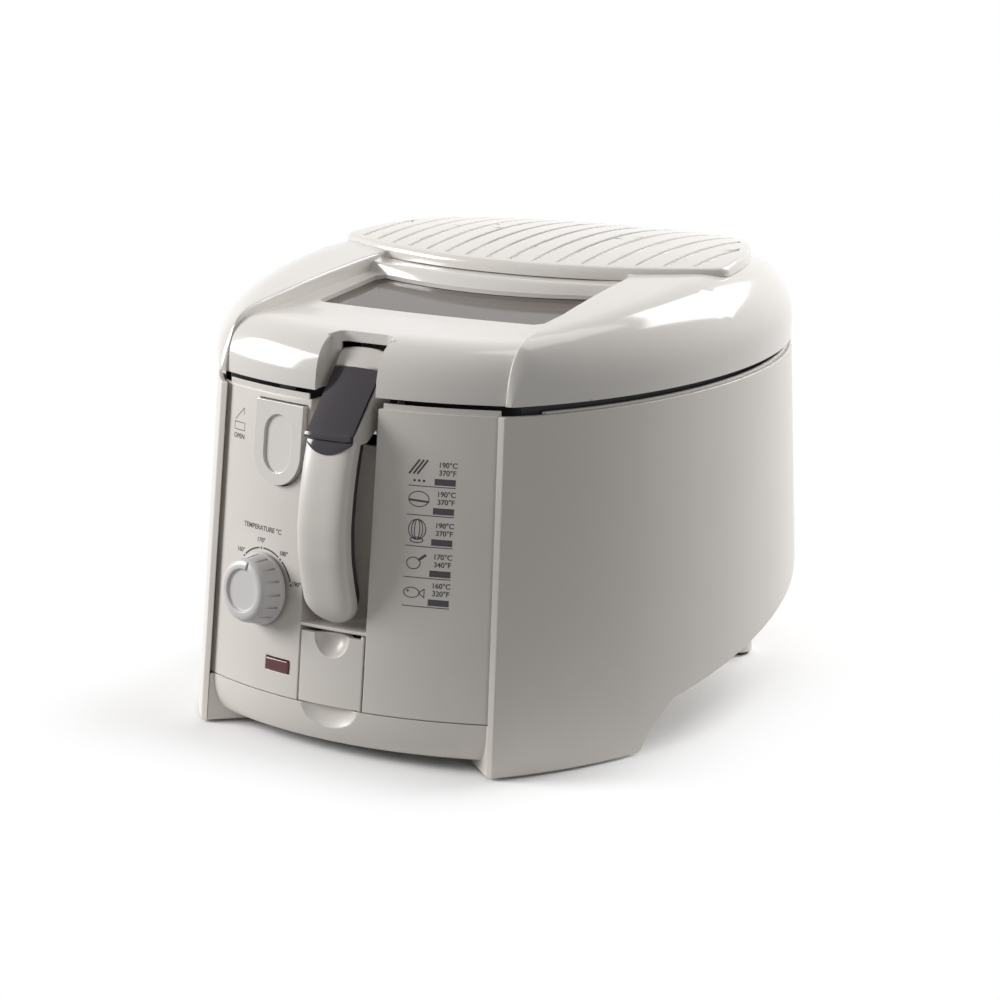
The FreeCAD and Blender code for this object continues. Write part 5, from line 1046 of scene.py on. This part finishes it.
# %% [markdown]
# ## Smaller mouldings
# The panel, the handle, the buttons and the like have the right shape in the solids already, but with knife
# edges, and a real moulding never has those: its edges catch a thin line of light. A copy of the solid's
# mesh is welded, its flat facets are merged, and a small bevel rounds every edge.

# %% Rounded copies of the solids
def copied(name, node, reshape=None):
    """Copy of a solid's mesh with its corners welded and its facets merged, then reshaped if asked."""
    mesh = bpy.data.objects[node].data.copy()
    mesh.materials.clear()
    work = bmesh.new()
    work.from_mesh(mesh)
    bmesh.ops.remove_doubles(work, verts=work.verts, dist=1e-6)
    bmesh.ops.dissolve_limit(work, angle_limit=math.radians(0.5), verts=work.verts, edges=work.edges)
    if reshape:
        reshape(work)
    work.to_mesh(mesh)
    work.free()
    mesh.name = name
    return link(name, mesh)


SOFTENED = (
    ("front_panel_moulding", "front_panel", "case", 0.5, "satin_abs", "white_plastic"),
    ("drain_door_moulding", "drain_door", "door", 0.3, "satin_abs", "white_plastic"),
    ("open_button_moulding", "open_button", "button", 0.35, "gloss_abs", "white_plastic"),
    ("lens_moulding", "indicator_lens", "case", 1.1, "red_lens", "red_lens"),
)
for name, node, body, width, finish, slot in SOFTENED:
    dress(harden(copied(name, node), width, 2), body, finish, slot, node)

# %% [markdown]
# ## Handle
# The handle swings about the drum in the lid's notch. Its grip is a bulged shell with a round tip, so it is
# lofted: level sections, each a superellipse in front and straight at the sides, follow a table of depths.
# The same loft, drawn in and set back, is a black spine behind it: painted shade that stands for the dark
# hollow behind the grip. The drum keeps the solid's shape, but its surface is bent inwards towards both
# sides, because a moulded drum is crowned.

# %% Grip
GRIP_EDGE = np.array(((71.5, -6.0), (75, -8.2), (82.8, -11.5), (100, -15.4), (111, -16.9), (121, -17.0),
                      (134, -15.5), (153, -11.5), (168, -6.9), (178, -3.5)))
GRIP_HALF, GRIP_TOP, GRIP_TIP, TIP_LENGTH, GRIP_POWER = 15.0, 169.2, 71.5, 14.5, 3.2
GRIP_BULGE, GRIP_SEAM, SPINE_DEPTH, SPINE_FOOT = 5.8, 7.0, 5.0, 77.5


def tip_share(height):
    """One along the grip, falling to zero round the tip."""
    below = max(GRIP_TIP + TIP_LENGTH - height, 0) / TIP_LENGTH
    return math.sqrt(max(1 - below * below, 0))


def grip_front(across, height):
    """Depth of the grip's front at a place."""
    share = tip_share(height)
    half, bulge = GRIP_HALF * share, GRIP_BULGE * (0.35 + 0.65 * share)
    place = min(abs(across) / max(half, 0.01), 1)
    return eased(GRIP_EDGE, height) + 3.5 - bulge * (1 - place ** GRIP_POWER) ** (1 / GRIP_POWER)


def grip_section(height):
    """Closed level section: round the front from the right seam to the left one."""
    half, seam = GRIP_HALF * tip_share(height), eased(GRIP_EDGE, height) + GRIP_SEAM
    turns = np.linspace(0, math.pi, 45)
    spots = [half * math.copysign(abs(math.cos(t)) ** (2 / GRIP_POWER), math.cos(t)) for t in turns]
    loop = [(x, grip_front(x, height), height) for x in spots]
    return [(half * 0.97, seam, height)] + loop + [(-half * 0.97, seam, height)]


def spine_section(height):
    half = (GRIP_HALF - 1.5) * tip_share(height)
    near = eased(GRIP_EDGE, height) + GRIP_SEAM - 0.3
    far = near + 0.4 + SPINE_DEPTH * min(1.0, (height - SPINE_FOOT) / 10)
    return [(half, near, height), (half, far, height), (-half, far, height), (-half, near, height)]


tip_levels = GRIP_TIP + TIP_LENGTH * (1 - np.cos(np.linspace(0.06, math.pi / 2, 14)))
levels = list(tip_levels) + list(np.linspace(GRIP_TIP + TIP_LENGTH, GRIP_TOP, 34))[1:]
dress(harden(loft("grip_moulding", [grip_section(level) for level in levels]), 0, angle=60),
      "handle", "satin_abs", "white_plastic", "handle_grip")
# The spine is painted shade: black for the dark hollow behind the grip, though the solid it replaces is white
# plastic
spine_levels = np.linspace(SPINE_FOOT, GRIP_TOP, 32)
dress(harden(loft("grip_spine", [spine_section(level) for level in spine_levels]), 0.5),
      "handle", "black_pp", "black_plastic", "handle_back")

# %% [markdown]
# The drum is a copy of the solid above the grip, sliced across its width, and each slice is drawn in towards
# the pivot by the square of its distance from the middle. Behind the slider it stands out as a collar, flush
# with the slider's face.

# %% Drum and slider
CROWNING, STEM_CUT, DRUM_SIDE, DRUM_CORE = 1.5, 166, 0.014, 0.0155
COLLAR_RADIUS, COLLAR_REAR, COLLAR_FRONT = 18.7, 30, 152


def slice_drum(work):
    """Keep what lies above the grip, with extra edges across its width."""
    everything = work.verts[:] + work.edges[:] + work.faces[:]
    opened = bmesh.ops.bisect_plane(work, geom=everything, plane_co=(0, 0, STEM_CUT / 1000),
                                    plane_no=(0, 0, -1), clear_outer=True)
    rim = [item for item in opened["geom_cut"] if isinstance(item, bmesh.types.BMEdge)]
    bmesh.ops.holes_fill(work, edges=rim)
    for station in np.linspace(-12, 12, 9):
        everything = work.verts[:] + work.edges[:] + work.faces[:]
        bmesh.ops.bisect_plane(work, geom=everything, plane_co=(station / 1000, 0, 0), plane_no=(1, 0, 0))


drum = copied("drum_moulding", "handle_grip", slice_drum)
axis = to_frame((0, *PIVOT))
for vertex in drum.data.vertices:
    spoke = Vector((0, vertex.co.y - axis.y, vertex.co.z - axis.z))
    if spoke.length > DRUM_CORE and abs(vertex.co.x) < DRUM_SIDE + 0.0001:
        behind_slider = COLLAR_REAR < math.degrees(math.atan2(spoke.z, spoke.y)) < COLLAR_FRONT
        growth = max(COLLAR_RADIUS - spoke.length * 1000, 0) if behind_slider else 0
        growth -= CROWNING * (vertex.co.x / DRUM_SIDE) ** 2
        vertex.co += spoke.normalized() * growth / 1000
dress(harden(drum, 0, angle=30), "handle", "satin_abs", "white_plastic")

SLIDER_TOP, SLIDER_LOW = np.array((18.6, 203.1)), np.array((-8.2, 174.0))
SLIDER_HALF, SLIDER_WALL = 14.2, 3.2
slide = (SLIDER_LOW - SLIDER_TOP) / np.linalg.norm(SLIDER_LOW - SLIDER_TOP)
slider_out = np.array((slide[1], -slide[0]))


def slider_section(across):
    """Closed side outline of the slider at a place across it: face, lip, tongue and underside."""
    bow = (across / SLIDER_HALF) ** 2
    sink = -slider_out * 1.5 * bow
    face = [SLIDER_TOP + (SLIDER_LOW - SLIDER_TOP) * t + sink for t in np.linspace(0, 1, 9)]
    lip = [(-9.8 + 1.5 * bow, 173.0), (-10.9 + 1.7 * bow, 171.6), (-11.0 + 1.9 * bow, 170.4)]
    tongue_foot = 162.5 + 5.5 * bow
    tongue = [(grip_front(across, z) - 0.35 - 0.9 * rise, z)
              for z, rise in zip(np.linspace(169.3, tongue_foot, 6), (0.8, 0.95, 1, 0.95, 0.75, 0.1))]
    under = [(grip_front(across, z) - 0.25, z) for z in np.linspace(tongue_foot, 169.3, 5)]
    under.append(tuple(SLIDER_LOW - slider_out * SLIDER_WALL + (0, 0.6)))
    under.append(tuple(SLIDER_TOP - slider_out * SLIDER_WALL))
    return [(across, y, z) for y, z in [*map(tuple, face), *lip, *tongue, *under]]


spans = SLIDER_HALF * np.sin(np.linspace(-math.pi / 2, math.pi / 2, 25))
dress(harden(loft("slider_moulding", [slider_section(x) for x in spans]), 0, angle=32),
      "slider", "aubergine_abs", "aubergine_plastic", "handle_slider")

# %% [markdown]
# ## Thermostat knob
# The knob is turned from a profile, then Geometry Nodes set grooves round its skirt, and one wider notch in
# its ring is the pointer. It is made lying flat and then stood on the panel's bowed face.

# %% Knob
KNOB_SPOT, POINTER_TURN = (-49.2, 82.0), 76
PANEL_FOOT, PANEL_LEAN = -15.5, 22
KNOB_PROFILE = [(0, 1.2), (19.4, 1.2), (19.4, 3.0), (18.8, 3.7), (17.7, 9.6), (17.2, 12.0), (16.2, 13.9),
                (14.8, 14.8), (13.2, 15.1), (11.6, 15.0), (10.7, 13.7), (0, 13.7)]


def panel_depth(across, height):
    """Depth of the bowed and leaning front face."""
    middle = PANEL_FOOT + PANEL_LEAN * height / RIM
    return middle + BAND_RADIUS - math.sqrt(BAND_RADIUS ** 2 - across * across)


knob_skin = Skin()
turns = np.linspace(0, 2 * math.pi, 112, endpoint=False)
knob_skin.strip([[(radius * math.cos(t), radius * math.sin(t) + FEET_TO_MIDDLE, rise) for t in turns]
                 for radius, rise in KNOB_PROFILE], closed=True)
knob = build("knob_moulding", knob_skin)

grooves = new_group("knob_grooves")
socket(grooves, "Knob", "NodeSocketGeometry")
socket(grooves, "Count", "NodeSocketInt", 16)
socket(grooves, "Radius", "NodeSocketFloat", 0.0189)
socket(grooves, "Width", "NodeSocketFloat", 0.0011)
given = add_node(grooves, "NodeGroupInput").outputs
spots = add_node(grooves, "GeometryNodeMeshCircle", None,
                 {"Vertices": given["Count"], "Radius": given["Radius"]})
step = add_node(grooves, "ShaderNodeMath", {"operation": "DIVIDE", 0: 2 * math.pi}, {1: given["Count"]})
index = add_node(grooves, "GeometryNodeInputIndex")
turn = add_node(grooves, "ShaderNodeMath", {"operation": "MULTIPLY"},
                {0: index.outputs[0], 1: step.outputs[0]})
facing = add_node(grooves, "ShaderNodeCombineXYZ", None, {"Z": turn.outputs[0]})
size = add_node(grooves, "ShaderNodeCombineXYZ", {"X": 0.0034, "Z": 0.0086}, {"Y": given["Width"]})
bar = add_node(grooves, "GeometryNodeMeshCube", None, {"Size": size.outputs[0]})
lifted = add_node(grooves, "GeometryNodeTransform", {"Translation": (0.0, 0.0, 0.0084)},
                  {"Geometry": bar.outputs[0]})
bars = add_node(grooves, "GeometryNodeInstanceOnPoints", None,
                {"Points": spots.outputs[0], "Instance": lifted.outputs[0], "Rotation": facing.outputs[0]})
solid_bars = add_node(grooves, "GeometryNodeRealizeInstances", None, {"Geometry": bars.outputs[0]})
grooved = add_node(grooves, "GeometryNodeMeshBoolean", {"operation": "DIFFERENCE", "solver": "EXACT"},
                   {"Mesh 1": given["Knob"], "Mesh 2": solid_bars.outputs[0]})
finish_group(grooves, grooved.outputs[0], FINISH["grey_abs"])
run_group(knob, grooves, Count=16)

POINTER = [(9.5, -0.7), (18.5, -1.1), (18.5, 1.1), (9.5, 0.7)]
cos, sin = math.cos(math.radians(POINTER_TURN)), math.sin(math.radians(POINTER_TURN))
pointer = [(x * cos - y * sin, x * sin + y * cos + FEET_TO_MIDDLE) for x, y in POINTER]
cut(knob, prism("pointer_cutter", pointer, 13.9, 20, 2))
harden(knob, 0.2, 2)
slope = KNOB_SPOT[0] / math.sqrt(BAND_RADIUS ** 2 - KNOB_SPOT[0] ** 2)
outward = Vector((slope, -1, PANEL_LEAN / RIM)).normalized()
across_panel = Vector((1, slope, 0)).normalized()
stand = Matrix((across_panel, outward.cross(across_panel), outward)).transposed().to_4x4()
foot = to_frame((KNOB_SPOT[0], panel_depth(*KNOB_SPOT), KNOB_SPOT[1]))
knob.data.transform(Matrix.Translation(foot) @ stand)
dress(knob, "knob", "grey_abs", node_slot["thermostat_knob"], "thermostat_knob")

# %% [markdown]
# ## Plinth and feet
# The plinth under the panel is rolled back towards the floor like a quarter round, with a shallow dish for a
# finger under the drain door. A short slanting wall joins it to the inner corner of each cheek.

# %% Plinth and feet
PLINTH_TOP, PLINTH_FOOT, PLINTH_DEPTH, PLINTH_ROLL = 27.2, 6.0, 13.0, 11.0
# The dish is part of an egg: its height, how far it stands in front, and its half width, depth and height
DISH_LEVEL, DISH_AHEAD, DISH_SIZE = 30, 12, (30, 15.5, 22)
# Plan of a return wall, in from the cheek and back from its edge
RETURN_PLAN = ((0, 0.6), (19, 17), (17.5, 19.5), (0, 4.6))


def plinth_row(height, back):
    fall = (PLINTH_TOP - height) / (PLINTH_TOP - PLINTH_FOOT)
    roll = PLINTH_ROLL * (1 - math.sqrt(max(1 - fall * fall, 0)))
    half = case_point(0, height, CASE_WALL - 1.0)[0]
    setback = PLINTH_DEPTH if back else roll
    return [(x, panel_depth(x, height) + setback, height) for x in np.linspace(-half, half, 49)]


plinth_levels = PLINTH_TOP - (PLINTH_TOP - PLINTH_FOOT) * np.sin(np.linspace(0, math.pi / 2, 14))
plinth_skin = Skin()
plinth_skin.shell(*[[plinth_row(z, back) for z in plinth_levels] for back in (False, True)])
plinth = build("plinth_moulding", plinth_skin)
dish = bpy.data.meshes.new("finger_dish")
ball = bmesh.new()
bmesh.ops.create_uvsphere(ball, u_segments=96, v_segments=64, radius=0.001)
dish_spot = to_frame((0, panel_depth(0, DISH_LEVEL) - DISH_AHEAD, DISH_LEVEL))
ball.transform(Matrix.Translation(dish_spot) @ Matrix.Diagonal((*DISH_SIZE, 1)))
ball.to_mesh(dish)
ball.free()
cut(plinth, link("finger_dish", dish))
dress(harden(plinth, 0.3, 2), "case", "satin_abs", "white_plastic", "base_panel")


def return_wall(side):
    """Slanting wall from a cheek's inner front corner to the plinth."""
    rows = []
    for height in np.linspace(1.2, 27, 9):
        x, y, _ = case_point(0, height, CASE_WALL - 0.3)
        rows.append([(side * (x - inward), y + back, height) for inward, back in RETURN_PLAN])
    return loft("return_wall", rows)


returns = merge("foot_returns", [return_wall(-1), return_wall(1)])
dress(harden(returns, 0.3, 2), "case", "satin_abs", "white_plastic")

# %% [markdown]
# The panel's upper edge carries a low lip, a little behind its face, that half closes the gap under the lid.

# %% Panel lip
LIP_INNER, LIP_OUTER, LIP_LEVELS, LIP_DEPTHS = 23, 84, (184, 188.4), (1.0, 2.0)


def panel_lip(side):
    """Upright strip behind the panel's upper edge, on one side of the handle."""
    span = np.linspace(LIP_INNER, LIP_OUTER, 24) * side
    skin = Skin()
    skin.shell(*[[[(x, panel_depth(x, RIM) + back, z) for x in span] for z in LIP_LEVELS]
                 for back in LIP_DEPTHS])
    return build("panel_lip", skin)


lips = merge("panel_lips", [panel_lip(-1), panel_lip(1)])
dress(harden(lips, 0.3, 2), "case", "satin_abs", "white_plastic")

# %% [markdown]
# ## Print
# The panel carries a dial scale, a small opening sign and a cooking chart. Text becomes flat meshes and lines
# become strips, all drawn upright in the plane of width and height and then laid on the bowed face, with a
# film of ink a few hundredths of a millimetre thick. The signs are plain drawings of food.

# %% Print helpers
INK_FILM = 0.04


class Sheet:
    """Flat print in millimetres of width and height, collected before it is laid on the panel."""

    def __init__(self):
        self.skin = Skin()

    def patch(self, corners):
        self.skin.face([(x, 0, z) for x, z in corners])

    def stroke(self, points, width=0.5, closed=False):
        """Strip of even width along a line of points."""
        points = [np.array(point, float) for point in points]
        loop = points + points[:1] if closed else points
        for a, b in zip(loop, loop[1:]):
            reach = np.linalg.norm(b - a)
            if reach > 0:
                ahead = (b - a) / reach
                aside = np.array((-ahead[1], ahead[0])) * width / 2
                more = ahead * width * 0.3
                steps = np.linspace(0, 1, max(2, int(reach / 4) + 1))
                spots = [a - more + (b - a + 2 * more) * t for t in steps]
                for near, far in zip(spots, spots[1:]):
                    self.patch([near + aside, near - aside, far - aside, far + aside])

    def ellipse(self, centre, wide, tall, width=0.5, start=0, stop=360):
        turns = np.radians(np.linspace(start, stop, 33))
        spots = [(centre[0] + wide * math.cos(t), centre[1] + tall * math.sin(t)) for t in turns]
        self.stroke(spots, width)

    def words(self, text, middle, tall):
        """Text of a height, centred on a point."""
        curve = bpy.data.curves.new("words", "FONT")
        curve.body, curve.size, curve.align_x, curve.align_y = text, tall / 0.69, "CENTER", "CENTER"
        curve.offset = 0.07
        piece = link("words", curve)
        graph = bpy.context.evaluated_depsgraph_get()
        mesh = bpy.data.meshes.new_from_object(piece.evaluated_get(graph))
        for polygon in mesh.polygons:
            corners = [mesh.vertices[index].co for index in polygon.vertices]
            self.patch([(middle[0] + corner.x, middle[1] + corner.y) for corner in corners])
        bpy.data.objects.remove(piece)


sheet = Sheet()
DIAL, DIAL_RADIUS = KNOB_SPOT, 21.2


def on_dial(radius, turn):
    return DIAL[0] + radius * math.cos(math.radians(turn)), DIAL[1] + radius * math.sin(math.radians(turn))


# %% Dial and opening sign
sheet.words("TEMPERATURE °C", (-51.5, 113.5), 2.5)
for number, turn in ((150, 178), (160, 137), (170, 96), (180, 55), (190, 14)):
    sheet.words(f"{number}°", on_dial(DIAL_RADIUS + 4.0, turn), 2.3)
    sheet.ellipse(on_dial(DIAL_RADIUS, turn), 0.3, 0.3, 0.6)
for start in (19, 60, 101, 142):
    sheet.ellipse(DIAL, DIAL_RADIUS, DIAL_RADIUS, 0.9, start, start + 31)
sheet.stroke([(-78, 162), (-69.5, 162), (-69.5, 166), (-78, 166)], 0.4, True)
sheet.stroke([(-77.6, 167.3), (-70.5, 174), (-70.5, 170.5)], 0.4)
sheet.words("OPEN", (-73.8, 158.6), 2.4)

# %% Cooking chart
ROWS = ((148.3, 190, 370), (133.4, 190, 370), (117.4, 190, 370), (101.3, 170, 340), (86.4, 160, 320))
for line, celsius, fahrenheit in ROWS:
    sheet.stroke([(40, line), (64.5, line)], 0.45)
    sheet.words(f"{celsius}°C", (60, line + 11.2), 2.6)
    sheet.words(f"{fahrenheit}°F", (60, line + 7.2), 2.6)
    for part in np.linspace(53.6, 64.4, 5)[:-1]:
        low, high, end = line + 0.9, line + 4.2, part + 2.7
        sheet.patch([(part, low), (end, low), (end, high), (part, high)])
for slope in (-2, 0.3, 2.4):
    sheet.stroke([(42 + slope, 154.5), (47 + slope, 161.5)], 1.0)
for spot in (43, 45.5, 48):
    sheet.ellipse((spot, 151), 0.35, 0.35, 0.6)
sheet.ellipse((45.8, 141.6), 5.4, 3.9)
sheet.stroke([(40.6, 141), (51, 140.4)], 1.1)
for wide in (1.4, 3.0, 4.6):
    sheet.ellipse((45.8, 126), wide, 5.2)
sheet.ellipse((45.8, 120.6), 3.4, 1.4)
sheet.ellipse((44.8, 108.6), 3.6, 3.0)
sheet.stroke([(47.6, 110.4), (51, 113)], 1.3)
sheet.ellipse((44.6, 93.4), 4.2, 2.6)
sheet.stroke([(48.6, 93.4), (51.4, 95.6), (51.4, 91.2)], 0.5, True)
sheet.ellipse((42.6, 94.2), 0.35, 0.35, 0.5)


def lay(flat):
    """Lay flat print on the panel's face."""
    skin = Skin()
    for loop in flat.faces:
        corners = [flat.points[index] for index in loop]
        skin.face([(x, panel_depth(x, z) - 0.02, z) for x, _, z in corners])
    return build("panel_print", skin, Vector((0, -1, 0)))


ink = lay(sheet.skin)
modify(ink, "SOLIDIFY", thickness=INK_FILM / 1000, offset=1)
plain(ink)
dress(ink, "case", "ink", "black_plastic")

# %% [markdown]
# ## Floor, world and lamps
# The photograph is a studio shot on white. The floor is a matt white disc that fades to a plain white at
# some distance, so it keeps the soft shadow but has no edge. The world is white for what the camera sees
# directly or in a reflection, and a modest grey for the light it gives, so that pale plastic keeps its
# shading. Large area lamps do the rest.

# %% Floor and world
SHADOW_REACH, SHADOW_FADE, FLOOR_MM = (0.12, 0.17, 0.0), 0.085, 3000
FLOOR_LIGHT, WORLD_LIGHT = 0.17, 0.21
floor_material, tree, floor_shader, place = surface("matt_white_floor", {"Roughness": 0.9})
floor_shader.inputs["Base Color"].default_value = linear("#f7f7f7")
output = next(node for node in tree.nodes if node.bl_idname == "ShaderNodeOutputMaterial")
mirror = add_node(tree, "ShaderNodeVectorMath", {"operation": "ABSOLUTE"}, {0: place})
beyond = add_node(tree, "ShaderNodeVectorMath", {"operation": "SUBTRACT", 1: SHADOW_REACH},
                  {0: mirror.outputs["Vector"]})
outside = add_node(tree, "ShaderNodeVectorMath", {"operation": "MAXIMUM", 1: (0.0, 0.0, 0.0)},
                   {0: beyond.outputs["Vector"]})
distance = add_node(tree, "ShaderNodeVectorMath", {"operation": "LENGTH"}, {0: outside.outputs["Vector"]})
fade = add_node(tree, "ShaderNodeMapRange",
                {"From Min": 0.0, "From Max": SHADOW_FADE, "interpolation_type": "SMOOTHSTEP"},
                {"Value": distance.outputs["Value"]})


def backdrop_level(tree, light):
    """White where the camera sees it, directly or in gloss or glass; otherwise the light it gives."""
    rays = add_node(tree, "ShaderNodeLightPath").outputs
    seen = add_node(tree, "ShaderNodeMath", {"operation": "MAXIMUM"},
                    {0: rays["Is Camera Ray"], 1: rays["Is Glossy Ray"]})
    seen = add_node(tree, "ShaderNodeMath", {"operation": "MAXIMUM"},
                    {0: seen.outputs[0], 1: rays["Is Transmission Ray"]})
    level = add_node(tree, "ShaderNodeMapRange", {"To Min": light, "To Max": 1.0},
                     {"Value": seen.outputs[0]})
    return level.outputs["Result"]


glow = add_node(tree, "ShaderNodeEmission", {"Color": (1, 1, 1, 1)},
                {"Strength": backdrop_level(tree, FLOOR_LIGHT)})
ground = add_node(tree, "ShaderNodeMixShader", None,
                  {0: fade.outputs["Result"], 1: floor_shader.outputs["BSDF"], 2: glow.outputs["Emission"]})
tree.links.new(ground.outputs["Shader"], output.inputs["Surface"])
floor_skin = Skin()
ring = [(FLOOR_MM * math.cos(turn), FLOOR_MM * math.sin(turn) + FEET_TO_MIDDLE, -0.2)
        for turn in np.linspace(0, 2 * math.pi, 96, endpoint=False)]
floor_skin.face(ring)
floor = build("studio_floor", floor_skin, Vector((0, 0, 1)))
floor.data.materials.append(floor_material)

world = bpy.data.worlds.new("studio_white")
scene.world = world
world.use_nodes = True
world.node_tree.nodes.clear()
sky = add_node(world.node_tree, "ShaderNodeBackground", {"Color": (1, 1, 1, 1)},
               {"Strength": backdrop_level(world.node_tree, WORLD_LIGHT)})
add_node(world.node_tree, "ShaderNodeOutputWorld", None, {"Surface": sky.outputs[0]})
print("floor and world made")


# %% Lamps
def softbox(name, spot, aim, size, watts):
    """Square area lamp at a spot in metres, facing an aim."""
    lamp = bpy.data.lights.new(name, "AREA")
    lamp.energy, lamp.size = watts, size
    box = bpy.data.objects.new(name, lamp)
    scene.collection.objects.link(box)
    box.location = spot
    box.rotation_euler = (Vector(aim) - Vector(spot)).to_track_quat("-Z", "Y").to_euler()
    box.visible_camera = False
    return box


softbox("key_left", (-2.15, -1.05, 1.0), (0, 0, 0.1), 1.2, 72)
softbox("top_fill", (0.0, 0.5, 1.9), (0, 0, 0.1), 1.0, 6)
softbox("shoulder_glint", (0.52, 1.5, 1.4), (0.12, -0.03, 0.22), 1.05, 25)
softbox("rim_right", (1.25, 1.9, 0.8), (0, 0.05, 0.12), 0.9, 34).visible_glossy = False
softbox("low_fill", (1.7, -1.2, 0.25), (0, 0, 0.1), 0.8, 5).visible_glossy = False
